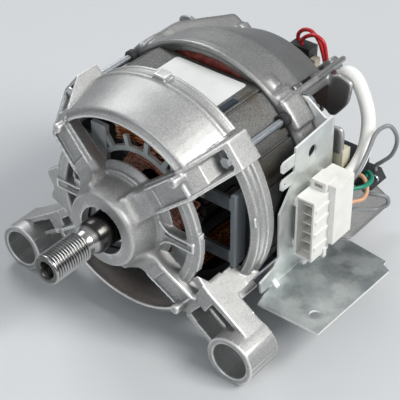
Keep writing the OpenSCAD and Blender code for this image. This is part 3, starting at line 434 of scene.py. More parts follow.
@dataclass(frozen=True)
class CastAluminium(Finish):
    """Die cast aluminium: sandy grain, edges brightened by wear and by painted highlight, and painted shade in
    hollows.

    A casting with a far colour takes it behind its crease, as painted shade.
    """

    light: Colour
    dark: Colour
    # Colour of the edges: worn metal with a painted highlight
    edge: Colour
    rough: Span = (0.42, 0.56)
    polish: Span = (0.1, 0.7)
    metal: float = 0.8
    # Darker colour behind the crease: painted shade
    far: Colour | None = None
    crease_y_mm: Span = (104.0, 105.0)
    grain_mm: float = 0.8
    grain_span: Span = (0.32, 0.68)
    grain_tone: Span = (0.18, 0.82)
    relief_mm: float = 0.036
    cloud_mm: float = 14.0
    cloud_tone: Span = (-0.12, 0.12)
    lump_mm: float = 3.2
    lump_relief_mm: float = 0.05
    worn_highlit_edge: Span = (0.5115, 0.535)
    rubbed_polish: float = 0.3
    # Pointiness at which hollows take painted shade
    hollow_shade_edge: Span = (0.488, 0.45)
    hollow_shade_share: float = 0.7

    def build(self) -> Material:
        """Makes the material.

        Returns:
            The finished material.
        """
        g = Graph(self.name)
        grain = g.noise(self.grain_mm, FINE_DETAIL)
        tone = g.plus(g.span(g.noise(self.cloud_mm), MID_NOISE, self.cloud_tone),
                      g.span(grain, self.grain_span, self.grain_tone))
        body = g.mix(tone, self.dark, self.light)
        if self.far is not None:
            # Behind the crease the body darkens to the far colour: painted shade
            beyond = g.ramp(g.along(Axis.Y), *self.crease_y_mm)
            body = g.mix(beyond, body, g.mix(tone, self.dark, self.far))
        # Edges take the bright edge colour: wear together with painted highlight
        worn_and_highlit = g.span(g.edge(), self.worn_highlit_edge)
        # Hollows darken towards the dark colour: painted shade
        hollow_shade = g.span(g.edge(), self.hollow_shade_edge, (0, self.hollow_shade_share))
        colour = g.mix(hollow_shade, g.mix(worn_and_highlit, body, self.edge), self.dark)
        lumps = g.bump(g.noise(self.lump_mm, SOFT_DETAIL), self.lump_relief_mm)
        dull = g.maths(Maths.MINUS, grain, g.times(worn_and_highlit, self.rubbed_polish))
        return g.finish(colour, g.span(dull, self.polish, self.rough), self.metal,
                        g.bump(grain, self.relief_mm, lumps))


@dataclass(frozen=True)
class Lamination(Finish):
    """Edges of stacked sheet iron, with oil stains, painted light on faces turned up, painted shade on the
    underside and a dark patch beside the label.
    """

    dark: Colour = rgb(0.04, 0.041, 0.042)
    # Side and top colours: faces turned up are painted lighter, as painted light
    side: Colour = rgb(0.125, 0.125, 0.122)
    top: Colour = rgb(0.25, 0.247, 0.236)
    lit_top_facing: Span = (0.45, 0.85)
    rough: Span = (0.36, 0.54)
    metal: float = 0.8
    sheet_mm: float = 0.5
    sheet_relief_mm: float = 0.05
    streak_mm: float = 1.1
    streak_stretch: Point = (1, 6, 1)
    streak_relief_mm: float = 0.03
    oil: Colour = rgb(0.10, 0.08, 0.045)
    oil_mm: float = 16.0
    oil_span: Span = (0.52, 0.68)
    oil_share: float = 0.6
    # Colour of the painted shade on the underside
    under: Colour = rgb(0.02, 0.021, 0.024)
    painted_shade_z_mm: Span = (28, 12)
    painted_shade_share: float = 0.72
    patch: Colour = rgb(0.035, 0.045, 0.058)
    patch_x_mm: Span = (27.4, 34.4)
    patch_y_mm: Span = (50.0, 65.5)
    patch_soft_mm: float = 0.4
    flat_facing: Span = (0.9, 0.95)

    def build(self) -> Material:
        """Makes the material.

        Returns:
            The finished material.
        """
        g = Graph(self.name)
        streak = g.noise(self.streak_mm, stretch=self.streak_stretch)
        # Faces turned up take the lighter top colour: painted light
        light = g.mix(g.span(g.facing(UP), self.lit_top_facing), self.side, self.top)
        colour = g.mix(g.span(streak, MID_NOISE), self.dark, light)
        stain = g.times(g.span(g.noise(self.oil_mm, FINE_DETAIL), self.oil_span), self.oil_share)
        colour = g.mix(stain, colour, self.oil)
        # Darker towards the bottom: painted shade
        colour = g.mix(g.ramp(g.along(Axis.Z), *self.painted_shade_z_mm, self.painted_shade_share), colour, self.under)
        patch = g.span(g.facing(UP), self.flat_facing)
        for axis, (low, high) in ((Axis.X, self.patch_x_mm), (Axis.Y, self.patch_y_mm)):
            place = g.along(axis)
            inside = g.times(g.ramp(place, low - self.patch_soft_mm, low),
                             g.ramp(place, high + self.patch_soft_mm, high))
            patch = g.times(patch, inside)
        streaked = g.bump(streak, self.streak_relief_mm)
        relief = g.bump(g.bands(self.sheet_mm, Axis.Y), self.sheet_relief_mm, streaked)
        return g.finish(g.mix(patch, colour, self.patch), g.span(streak, WIDE_NOISE, self.rough), self.metal,
                        relief)


@dataclass(frozen=True)
class Galvanised(Finish):
    """Zinc coated sheet with soft spangle and clouds, painted light on the upright and painted shade on the
    foot, and bright cut edges: bare steel under a painted highlight.
    """

    # The upright is painted lighter than the foot: painted light and shade on one sheet
    upright: tuple[Colour, Colour] = (rgb(0.68, 0.715, 0.71), rgb(0.88, 0.90, 0.88))
    foot: tuple[Colour, Colour] = (rgb(0.45, 0.49, 0.50), rgb(0.76, 0.80, 0.79))
    bend_z_mm: Span = (-35.8, -34.8)
    spangle_mm: float = 2.6
    spangle_share: float = 0.2
    cloud_mm: float = 11.0
    cloud_span: Span = (0.42, 0.6)
    cloud_share: float = 0.6
    fine_mm: float = 0.8
    fine_tone: Span = (-0.1, 0.1)
    fine_polish: float = 0.3
    relief_mm: float = 0.002
    polish: Span = (0.1, 1.2)
    rough: Span = (0.3, 0.5)
    # Near-white colour of the cut edges: bare steel with a painted highlight
    cut_edge_highlight: Colour = rgb(0.95, 0.96, 0.95)
    cut_edge_facing: Span = (0.9, 0.6)
    metal: Span = (0.85, 0.45)

    def build(self) -> Material:
        """Makes the material.

        Returns:
            The finished material.
        """
        g = Graph(self.name)
        fine = g.noise(self.fine_mm)
        cloud = g.span(g.noise(self.cloud_mm), self.cloud_span, (0, self.cloud_share))
        tone = g.plus(g.times(g.cells(self.spangle_mm), self.spangle_share),
                      g.plus(cloud, g.span(fine, MID_NOISE, self.fine_tone)))
        raised = g.ramp(g.along(Axis.Z), *self.bend_z_mm)
        # Above the bend the sheet takes the lighter upright colours: painted light and shade
        sheet = g.mix(raised, g.mix(tone, *self.foot), g.mix(tone, *self.upright))
        across, up = (g.maths(Maths.SIZE, g.facing(way)) for way in (RIGHT, UP))
        lowered = g.maths(Maths.MINUS, 1.0, raised)
        flat = g.maths(Maths.LARGER, g.times(raised, across), g.times(lowered, up))
        # Faces across the sheet at its cut edges take the painted highlight
        cut_edge_highlight = g.span(flat, self.cut_edge_facing)
        roughness = g.span(g.plus(tone, g.times(fine, self.fine_polish)), self.polish, self.rough)
        return g.finish(g.mix(cut_edge_highlight, sheet, self.cut_edge_highlight), roughness, g.span(cut_edge_highlight, (0, 1), self.metal),
                        g.bump(fine, self.relief_mm))


@dataclass(frozen=True)
class Turned(Finish):
    """Turned or ground metal with fine rings round the shaft axis, and dark grooves where it has a seat."""

    colour: Colour
    worn: Colour
    rough: Span = (0.18, 0.34)
    metal: float = 1.0
    ring_mm: float = 1.1
    ring_stretch: Point = (0.02, 1, 0.02)
    ring_relief_mm: float = 0.0015
    cloud_mm: float = 5.0
    cloud_span: Span = (0.4, 0.7)
    seat: Colour | None = None
    seat_y_mm: Span = (-9.6, -8.1)
    groove_r_mm: Span = (7.4, 6.5)
    groove_y_mm: Span = (-15.0, -15.3)
    groove_share: float = 0.85

    def build(self) -> Material:
        """Makes the material.

        Returns:
            The finished material.
        """
        g = Graph(self.name)
        rings = g.noise(self.ring_mm, SOFT_DETAIL, self.ring_stretch)
        colour = g.mix(g.span(g.noise(self.cloud_mm), self.cloud_span), self.colour, self.worn)
        if self.seat is not None:
            along = g.along(Axis.Y)
            root = g.times(g.ramp(g.radius(), *self.groove_r_mm), g.ramp(along, *self.groove_y_mm))
            colour = g.mix(g.ramp(along, *self.seat_y_mm), colour, self.seat)
            colour = g.mix(g.times(root, self.groove_share), colour, self.seat)
        return g.finish(colour, g.span(rings, WIDE_NOISE, self.rough), self.metal,
                        g.bump(rings, self.ring_relief_mm))


@dataclass(frozen=True)
class EnamelWire(Finish):
    """Enamelled winding wire: deep orange to brown from strand to strand."""

    light: Colour = rgb(0.90, 0.36, 0.11)
    dark: Colour = rgb(0.34, 0.085, 0.02)
    strand_mm: Span = (9.0, 1.0)
    strand_span: Span = (0.38, 0.62)
    rough: Span = (0.2, 0.32)
    metal: float = 0.7
    coat: float = 0.4
    coat_rough: float = 0.1

    def build(self) -> Material:
        """Makes the material.

        Returns:
            The finished material.
        """
        g = Graph(self.name)
        length, width = self.strand_mm
        strands = g.noise(width, SOFT_DETAIL, (width / length, 1, 1))
        colour = g.mix(g.span(strands, self.strand_span), self.dark, self.light)
        return g.finish(colour, g.span(strands, WIDE_NOISE, self.rough), self.metal,
                        Coat_Weight=self.coat, Coat_Roughness=self.coat_rough)


@dataclass(frozen=True)
class Moulded(Finish):
    """Moulded plastic or rubber with a fine texture and slight dirt."""

    colour: Colour
    shade: Colour
    rough: Span = (0.36, 0.52)
    texture_mm: float = 0.5
    relief_mm: float = 0.008
    cloud_mm: float = 9.0
    cloud_span: Span = (0.4, 0.72)
    cloud_share: float = 0.8
    subsurface: float = 0.0
    subsurface_mm: float = 1.5

    def build(self) -> Material:
        """Makes the material.

        Returns:
            The finished material.
        """
        g = Graph(self.name)
        fine = g.noise(self.texture_mm)
        dirt = g.span(g.noise(self.cloud_mm), self.cloud_span, (0, self.cloud_share))
        return g.finish(g.mix(dirt, self.colour, self.shade), g.span(fine, WIDE_NOISE, self.rough), 0.0,
                        g.bump(fine, self.relief_mm), Subsurface_Weight=self.subsurface,
                        Subsurface_Scale=self.subsurface_mm * MM)


@dataclass(frozen=True)
class CoilFrame(Finish):
    """Pale moulded insulator with painted shade further out in X: deepest on the bars, lighter on the posts,
    under random clouds of dirt.
    """

    pale: Colour = rgb(0.56, 0.60, 0.60)
    # Painted shade on the bars, and painted shade that is also the dirt colour on the posts
    deep_shade: Colour = rgb(0.05, 0.055, 0.06)
    shade_and_dirt: Colour = rgb(0.20, 0.225, 0.245)
    pale_end_mm: Span = (30.0, 33.0)
    bar_end_mm: Span = (47.0, 47.6)
    cloud_mm: float = 6.0
    cloud_span: Span = (0.35, 0.7)
    cloud_share: float = 0.35
    relief_mm: float = 0.02
    rough: float = 0.48

    def build(self) -> Material:
        """Makes the material.

        Returns:
            The finished material.
        """
        g = Graph(self.name)
        off = g.maths(Maths.SIZE, g.along(Axis.X))
        cloud = g.noise(self.cloud_mm)
        # Darker further out in X: painted shade, deepest on the bars
        colour = g.mix(g.ramp(off, *self.bar_end_mm), self.deep_shade, self.shade_and_dirt)
        colour = g.mix(g.ramp(off, *self.pale_end_mm), self.pale, colour)
        # Random clouds towards the post colour: dirt
        colour = g.mix(g.span(cloud, self.cloud_span, (0, self.cloud_share)), colour, self.shade_and_dirt)
        return g.finish(colour, self.rough, 0.0, g.bump(cloud, self.relief_mm))


@dataclass(frozen=True)
class Zinc(Finish):
    """Zinc plated steel of bolts and screws."""

    dark: Colour = rgb(0.50, 0.54, 0.58)
    light: Colour = rgb(0.70, 0.73, 0.75)
    cloud_mm: float = 3.0
    fine_mm: float = 0.6
    relief_mm: float = 0.0008
    rough: Span = (0.26, 0.38)

    def build(self) -> Material:
        """Makes the material.

        Returns:
            The finished material.
        """
        g = Graph(self.name)
        fine = g.noise(self.fine_mm)
        colour = g.mix(g.noise(self.cloud_mm), self.dark, self.light)
        return g.finish(colour, g.span(fine, WIDE_NOISE, self.rough), 1.0, g.bump(fine, self.relief_mm))


@dataclass(frozen=True)
class Sleeve(Finish):
    """Varnished glass sleeve or lacing over the winding leads."""

    light: Colour = rgb(0.40, 0.085, 0.055)
    dark: Colour = rgb(0.17, 0.03, 0.022)
    rough: Span = (0.3, 0.5)
    weave_mm: float = 0.8
    weave_relief_mm: float = 0.05
    cloud_mm: float = 3.5
    cloud_relief_mm: float = 0.2

    def build(self) -> Material:
        """Makes the material.

        Returns:
            The finished material.
        """
        g = Graph(self.name)
        cloud = g.noise(self.cloud_mm, FINE_DETAIL)
        clouded = g.bump(cloud, self.cloud_relief_mm)
        relief = g.bump(g.bands(self.weave_mm, Axis.X), self.weave_relief_mm, clouded)
        return g.finish(g.mix(g.span(cloud, MID_NOISE), self.dark, self.light),
                        g.span(cloud, WIDE_NOISE, self.rough), 0.0, relief)


FINISHES: dict[str, Finish] = {finish.name: finish for finish in (
    # The third colour of each casting is its edge colour: wear with painted highlight
    CastAluminium("cast_front", rgb(0.60, 0.595, 0.58), rgb(0.35, 0.352, 0.352), rgb(0.92, 0.92, 0.90)),
    # The rear casting's far colour behind its crease is painted shade
    CastAluminium("cast_rear", rgb(0.47, 0.465, 0.452), rgb(0.25, 0.252, 0.254), rgb(0.78, 0.78, 0.76),
                  (0.38, 0.52), relief_mm=0.025, far=rgb(0.38, 0.377, 0.37)),
    Lamination("iron"),
    EnamelWire("copper_wire"),
    EnamelWire("lacquered_winding", rgb(0.82, 0.40, 0.28), rgb(0.46, 0.16, 0.10), (2.5, 1.0), metal=0.3),
    CoilFrame("white_frame"),
    Sleeve("red_insulation"),
    Zinc("zinc_steel"),
    Zinc("spring_steel"),
    Galvanised("galvanised"),
    Turned("dark_steel", rgb(0.56, 0.56, 0.55), rgb(0.44, 0.43, 0.41), (0.2, 0.3),
           seat=rgb(0.075, 0.072, 0.068)),
    Turned("bearing_steel", rgb(0.55, 0.56, 0.58), rgb(0.66, 0.67, 0.68), (0.1, 0.2)),
    Turned("cage_steel", rgb(0.42, 0.38, 0.30), rgb(0.52, 0.48, 0.40)),
    Turned("commutator_copper", rgb(0.62, 0.29, 0.15), rgb(0.42, 0.18, 0.10)),
    Turned("terminal_brass", rgb(0.60, 0.48, 0.27), rgb(0.70, 0.62, 0.42)),
    Moulded("magnet", rgb(0.06, 0.06, 0.065), rgb(0.09, 0.085, 0.08)),
    Moulded("carbon", rgb(0.05, 0.05, 0.055), rgb(0.09, 0.09, 0.095), (0.45, 0.6)),
    Moulded("black_plastic", rgb(0.022, 0.023, 0.026), rgb(0.05, 0.05, 0.052)),
    Moulded("cream_plastic", rgb(0.74, 0.70, 0.55), rgb(0.62, 0.57, 0.43)),
    Moulded("white_plastic", rgb(0.86, 0.855, 0.82), rgb(0.79, 0.78, 0.73), subsurface=0.1),
    Moulded("grey_sleeve", rgb(0.93, 0.93, 0.90), rgb(0.84, 0.84, 0.80), (0.42, 0.55), subsurface=0.1),
    Moulded("grey_lead", rgb(0.26, 0.27, 0.28), rgb(0.20, 0.205, 0.21), (0.3, 0.42)),
    Moulded("green_lead", rgb(0.01, 0.27, 0.17), rgb(0.01, 0.20, 0.13), (0.28, 0.4)),
    Moulded("peach_lead", rgb(0.76, 0.45, 0.28), rgb(0.64, 0.35, 0.2), (0.3, 0.42)),
    Moulded("red_lead", rgb(0.60, 0.03, 0.035), rgb(0.45, 0.02, 0.025), (0.28, 0.4)),
    Moulded("label_film", rgb(0.77, 0.785, 0.77), rgb(0.70, 0.715, 0.70), (0.3, 0.36), relief_mm=0.002),
)}


class Wardrobe:
    """Makes each finish once and hands it out by name."""

    def __init__(self) -> None:
        """Starts with nothing made."""
        self.made: dict[str, Material] = {}

    def get(self, name: str) -> Material:
        """Finds or makes a finish.

        Args:
            name: Name of the finish.

        Returns:
            Its material.
        """
        if name not in self.made:
            self.made[name] = FINISHES[name].build()
        return self.made[name]


def stood(name: str, data: bpy.types.ID) -> Thing:
    """Puts new data in the scene.

    Args:
        name: Name of the new object.
        data: Mesh, curve, lamp or camera that it holds.

    Returns:
        The new object.
    """
    made = bpy.data.objects.new(name, data)
    bpy.context.scene.collection.objects.link(made)
    return made


def settled(passing: Thing) -> Mesh:
    """Takes an object out of the scene again.

    Args:
        passing: Object that was needed in passing.

    Returns:
        Its evaluated mesh.
    """
    graph = bpy.context.evaluated_depsgraph_get()
    made = bpy.data.meshes.new_from_object(passing.evaluated_get(graph))
    bpy.data.objects.remove(passing)
    return made


def baked(mesh: Mesh, dress: Callable[[Thing], None]) -> Mesh:
    """Applies modifiers to a mesh.

    Args:
        mesh: Mesh to start from.
        dress: Adds the modifiers to a passing object.

    Returns:
        The evaluated mesh.
    """
    passing = stood("passing", mesh)
    dress(passing)
    return settled(passing)


def shaded(mesh: Mesh, smooth: bool = True) -> Mesh:
    """Sets the shading of every face.

    Args:
        mesh: Mesh to shade.
        smooth: Smooth or flat.

    Returns:
        The same mesh.
    """
    for polygon in mesh.polygons:
        polygon.use_smooth = smooth
    return mesh


def mesh_from(bm: Solid, name: str, smooth: bool = True) -> Mesh:
    """Turns a solid into a mesh and frees it.

    Args:
        bm: The solid.
        name: Name of the mesh.
        smooth: Smooth or flat shading.

    Returns:
        The mesh.
    """
    mesh = bpy.data.meshes.new(name)
    bm.to_mesh(mesh)
    bm.free()
    return shaded(mesh, smooth)


def crisp(bm: Solid, name: str, angle_deg: float = 35) -> Mesh:
    """Turns a solid into a smooth mesh that keeps its sharp edges sharp.

    Args:
        bm: The solid.
        name: Name of the mesh.
        angle_deg: Angle past which an edge stays sharp.

    Returns:
        The mesh.
    """
    mesh = mesh_from(bm, name)
    mesh.set_sharp_from_angle(angle=math.radians(angle_deg))
    return mesh


def closed(bm: Solid, place: Matrix) -> Solid:
    """Caps the open ends of a new solid, moves it into place and points its faces outward.

    Args:
        bm: The new solid.
        place: Its place.

    Returns:
        The same solid.
    """
    bmesh.ops.holes_fill(bm, edges=bm.edges, sides=0)
    bmesh.ops.transform(bm, matrix=place, verts=bm.verts)
    bmesh.ops.recalc_face_normals(bm, faces=bm.faces)
    return bm


def plate(outline: Sequence[Span], low: float, high: float, place: Matrix = HERE) -> Solid:
    """Straight solid on a flat outline.

    Args:
        outline: Corners in X and Y, in millimetres.
        low: Z of its underside in millimetres.
        high: Z of its upper side.
        place: Turns the solid into place.

    Returns:
        The closed solid.
    """
    bm = bmesh.new()
    face = bm.faces.new([bm.verts.new(mm(u, v, low)) for u, v in outline])
    raised = bmesh.ops.extrude_face_region(bm, geom=[face])
    upper = [item for item in raised["geom"] if isinstance(item, bmesh.types.BMVert)]
    bmesh.ops.translate(bm, vec=mm(0, 0, high - low), verts=upper)
    return closed(bm, place)


def block(low: Point, high: Point) -> Solid:
    """Box between two corners given in millimetres."""
    (left, front, floor), (right, rear, top) = low, high
    return plate(((left, front), (right, front), (right, rear), (left, rear)), floor, top)


def turned(profile: Sequence[Span], start_deg: float = 0, sweep_deg: float = 360,
           steps: int = 96, place: Matrix = HERE) -> Solid:
    """Solid spun round the shaft axis.

    Args:
        profile: Corners as radius and Y in millimetres. A full turn starts and ends on the
            axis or closes itself.
        start_deg: Angle that it starts at.
        sweep_deg: Angle that it covers.
        steps: Facets round it.
        place: Moves the solid into place.

    Returns:
        The closed solid.
    """
    bm = bmesh.new()
    corners = [bm.verts.new(mm(r, y, 0)) for r, y in profile]
    rim = [bm.edges.new(pair) for pair in zip(corners, corners[1:])]
    if profile[0][0] > 0:
        rim.append(bm.edges.new((corners[-1], corners[0])))
    start = Matrix.Rotation(math.radians(start_deg), 3, "Y")
    bmesh.ops.rotate(bm, cent=(0, 0, 0), matrix=start, verts=corners)
    bmesh.ops.spin(bm, geom=corners + rim, cent=(0, 0, 0), axis=(0, 1, 0), angle=math.radians(sweep_deg),
                   steps=steps, use_merge=sweep_deg == 360)
    bmesh.ops.remove_doubles(bm, verts=bm.verts, dist=MERGE_MM * MM)
    return closed(bm, place)


def bevelled(bm: Solid, edges: list[bmesh.types.BMEdge], width_mm: float, segments: int) -> None:
    """Rounds some edges of a solid.

    Args:
        bm: The solid.
        edges: Edges to round.
        width_mm: Width of the rounding in millimetres.
        segments: Faces across it.
    """
    bmesh.ops.bevel(bm, geom=edges, offset=width_mm * MM, segments=segments, affect="EDGES", profile=0.5,
                    material=-1)


def joined(parts: Iterable[Solid]) -> Solid:
    """Puts all parts in one solid. The parts are freed.

    Args:
        parts: Solids to join.

    Returns:
        The whole.
    """
    whole = bmesh.new()
    for part in parts:
        passing = mesh_from(part, "passing")
        whole.from_mesh(passing)
        bpy.data.meshes.remove(passing)
    return whole


@dataclass
class Workshop:
    """What every sub-assembly needs: the frame's nodes, their slots and the finishes."""

    nodes: dict[str, Thing]
    slots: dict[str, str]
    finishes: Wardrobe = field(default_factory=Wardrobe)

    def dress(self, mesh: Mesh, finish: str) -> None:
        """Gives a mesh its finish."""
        mesh.materials.clear()
        mesh.materials.append(self.finishes.get(finish))

    def piece(self, name: str, mesh: Mesh, slot: str, body: Body = Body.FRAME,
              instead: str | None = None, finish: str | None = None) -> None:
        """Puts a finished mesh in the scene.

        Args:
            name: Name of the piece.
            mesh: Its mesh, in place.
            slot: Material slot of the record that it takes its finish from.
            body: Body that it rides on.
            instead: Node that it stands for.
            finish: Finish by name, where it isn't the slot's own.
        """
        made = stood(name, mesh)
        self.dress(mesh, finish or slot)
        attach(made, body.value)
        if instead:
            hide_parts(instead)
        log.info("%s: %d faces on %s", name, len(mesh.polygons), body.value)

    def stand_in(self, node: str, name: str, mesh: Mesh, body: Body = Body.FRAME) -> None:
        """Puts a finished mesh in the place of a node, with the node's own slot."""
        self.piece(name, mesh, self.slots[node], body, node)

    def merged(self, node: str) -> Solid:
        """Copies a node with its loose triangles joined.

        Args:
            node: Name of the node.

        Returns:
            The copy.
        """
        bm = bmesh.new()
        bm.from_mesh(self.nodes[node].data)
        bmesh.ops.remove_doubles(bm, verts=bm.verts, dist=MERGE_MM * MM)
        return bm


@dataclass(frozen=True)
class Slab:
    """Small straight form cast with a shield: its outline and its two faces, in millimetres.

    An upright one has its outline in X and Z, and its faces are given as distances against Y.
    """

    outline: Outline
    low: float
    high: float
    upright: bool = False

    def solid(self, place: Matrix, flip: int = 1) -> Solid:
        """Makes the form.

        Args:
            place: Its place.
            flip: 1, or -1 to mirror the outline.

        Returns:
            The closed solid.
        """
        outline = [(u, flip * v) for u, v in self.outline]
        return plate(outline, self.low, self.high, place @ ALONG_SHAFT if self.upright else place)


@dataclass
class FrontForms:
    """Small forms of the front shield, alike on both sides: arms, seat ring, hoops, struts and hub."""

    arm_tilt_deg: float = 35.5
    arm_web: Slab = Slab(((45, 19), (54.4, 17.2), (60.5, 17.3), (60.5, 44), (56, 44), (51.1, 41), (52, 23)),
                         5.4, 10.5)
    arm_web_end: Slab = Slab(((60, 17.3), (66, 17.5), (64.5, 31.2), (63.4, 44), (60, 44)), 7.2, 10.5)
    arm_wedge: Slab = Slab(((53.4, -1.8), (60.2, -1.8), (63.2, 6.8), (63.2, 8.6), (53.4, 8.6)),
                           -44, -24, True)
    arm_tab: Slab = Slab(((60.3, 43), (63.4, 43), (62.9, 50), (60.3, 48.4)), -1.8, 10.5)
    arm_back: Slab = Slab(((57, 28.2), (80, 28.2), (80, 31), (57, 31)), -14, 9.4)
    arm_rib: Slab = Slab(((54, 20), (73.4, 20), (76, 24), (76, 30), (54, 30)), -1.3, 0.7)
    arm_root: Slab = Slab(((52, 17.6), (54.8, 17.6), (57, 31), (52, 31)), -14.6, 9.6)
    ring_sweep_deg: float = 84.0
    ring_steps: int = 40
    ring_front_rib: Outline = ((57.4, 40.4), (58.4, 39.8), (60.8, 41.6), (61.3, 42.6), (60.9, 45), (57.2, 45))
    ring_rear_rib: Outline = ((60.6, 47.6), (61.8, 47.9), (62.3, 48.6), (62.2, 53), (61.2, 53.8),
                              (60.6, 53.8))
    hoop_post: Slab = Slab(((42.3, -2.9), (43.6, -2.4), (43.6, 2.4), (42.3, 2.9)), -17.6, -15.3, True)
    hoop_rail: Slab = Slab(((23.2, 7.3), (24.64, 5.44), (26.5, 4.0), (28.67, 3.11), (31, 2.9), (43, 2.9),
                            (43, 1.7), (31, 1.7), (28.39, 2.04), (25.95, 3.05), (23.86, 4.66), (22.25, 6.75)),
                           -17.6, -15.3, True)
    strut_deg: float = 39.0
    strut_filler: Slab = Slab(((65.3, 34.4), (67.3, 37.5), (67.3, 47.8), (65.3, 47.8)), -4.5, 10.2)
    strut_web: Slab = Slab(((53, 21.5), (54, 21.5), (60.1, 43), (60.1, 45.8), (56.5, 45.8)), 9.4, 12.4)
    hub_steps: int = 64
    hub_flange: Outline = ((20.5, 15.6), (23.4, 15.8), (24.2, 16.4), (24.4, 17.6), (26.4, 19.4), (27.2, 20.2),
                           (27.2, 21.4), (20.5, 21.4))

    def solids(self) -> list[Solid]:
        """Makes all the forms.

        Returns:
            Closed solids in place.
        """
        forms = []
        for side in SIDES:
            arm = side @ Matrix.Rotation(math.radians(self.arm_tilt_deg), 4, "Y")
            for slab in (self.arm_web, self.arm_web_end, self.arm_wedge, self.arm_tab, self.arm_back,
                         self.arm_rib, self.arm_root):
                forms.append(slab.solid(arm))
            for rib in (self.ring_front_rib, self.ring_rear_rib):
                forms.append(turned(rib, -self.ring_sweep_deg / 2, self.ring_sweep_deg, self.ring_steps,
                                    side))
            forms.append(self.hoop_post.solid(side))
            for up in (1, -1):
                forms.append(self.hoop_rail.solid(side, up))
                turn = Matrix.Rotation(math.radians(-self.strut_deg), 4, "Y")
                strut = side @ Matrix.Scale(up, 4, UP) @ turn
                forms += [self.strut_filler.solid(strut), self.strut_web.solid(strut)]
        forms.append(turned(self.hub_flange, steps=self.hub_steps))
        return forms


@dataclass
class RearForms:
    """Small forms of the rear shield: the lug behind the bracket, and each cheek's inner part and crease."""

    lug: Slab = Slab(((58, 14), (65.4, 14), (65.4, 26.5), (63.5, 29.4), (58, 28.6)), -107, -104, True)
    cheek: Slab = Slab(((24, 24), (31, 22.4), (40, 20.6), (43.5, 21), (43.5, 41.2), (36, 38), (28, 31)),
                       -128, -125, True)
    crease: Slab = Slab(((41.2, 20.5), (42.6, 20.5), (42.9, 41), (41.6, 41)), -125.4, -124.4, True)

    def solids(self) -> list[Solid]:
        """Makes all the forms, as closed solids in place."""
        cheeks = [slab.solid(side) for side in SIDES for slab in (self.cheek, self.crease)]
        return [self.lug.solid(HERE), *cheeks]


@dataclass
class Castings:
    """The two shields, with their edges and corners rounded as cast metal is."""

    shop: Workshop
    voxel_mm: float = 0.5
    relax: float = 0.5
    soften: int = 2
    most_triangles: int = 190000
    blend_iterations: int = 60
    hub_r_mm: float = 19.3
    hub_fade_mm: float = 1.0
    blend_r_mm: float = 32.0
    blend_r_fade_mm: float = 4.0
    blend_y_mm: Span = (1.2, 15.0)
    blend_y_fade_mm: float = 2.0
    rib_sector_deg: float = 19.0
    rib_fade_deg: float = 4.0
    rib_y_mm: float = 12.0

    def build(self) -> None:
        """Makes both shields."""
        for node, forms in (("front_shield", FrontForms()), ("rear_shield", RearForms())):
            self.shop.stand_in(node, node + "_cast", self.round_off(node, forms.solids()))

    def round_off(self, node: str, extras: list[Solid]) -> Mesh:
        """Rounds a casting by an even skin that is then relaxed.

        Args:
            node: Name of the casting's node.
            extras: Closed solids that are cast with it.

        Returns:
            The rounded mesh.
        """
        whole = joined([self.shop.merged(node), *extras])
        skin = baked(mesh_from(whole, node), self.cover)
        log.info("%s: skin of %d faces", node, len(skin.polygons))
        return baked(skin, self.blend)

    def cover(self, passing: Thing) -> None:
        """Adds the skin and its smoothing.

        Args:
            passing: Object with the casting's mesh.
        """
        skin = passing.modifiers.new("skin", "REMESH")
        skin.mode = "VOXEL"
        skin.voxel_size = self.voxel_mm * MM
        skin.use_smooth_shade = True
        self.smooth(passing, self.soften)

    def smooth(self, passing: Thing, iterations: int) -> bpy.types.SmoothModifier:
        """Adds smoothing.

        Args:
            passing: Object to smooth.
            iterations: Rounds of smoothing.

        Returns:
            The modifier.
        """
        relax = passing.modifiers.new("relax", "SMOOTH")
        relax.factor = self.relax
        relax.iterations = iterations
        return relax

    def blend(self, passing: Thing) -> None:
        """Blends the struts into the hub and takes out faces where the skin is flat.

        Args:
            passing: Object with the skin.
        """
        group = passing.vertex_groups.new(name="hub")
        for vertex in passing.data.vertices:
            weight = self.blend_weight(vertex.co / MM)
            if weight > 0:
                group.add([vertex.index], weight, "REPLACE")
        self.smooth(passing, self.blend_iterations).vertex_group = group.name
        fewer = passing.modifiers.new("fewer", "DECIMATE")
        fewer.ratio = min(1.0, self.most_triangles / (2 * len(passing.data.polygons)))

    def blend_weight(self, place: Vector) -> float:
        """How far a point lies in the zone where the struts leave the hub.

        Args:
            place: The point in millimetres.

        Returns:
            Its weight, from 0 to 1.
        """
        radius = math.hypot(place.x, place.z)
        off_rib = math.degrees(math.atan2(abs(place.z), abs(place.x))) - self.rib_sector_deg
        start_y, end_y = self.blend_y_mm
        ramps = ((self.blend_r_mm - radius) / self.blend_r_fade_mm,
                 (radius - self.hub_r_mm) / self.hub_fade_mm,
                 (place.y - start_y) / self.blend_y_fade_mm,
                 (end_y - place.y) / self.blend_y_fade_mm,
                 max(off_rib / self.rib_fade_deg, self.rib_y_mm - place.y))
        return max(0.0, min(1.0, *ramps))


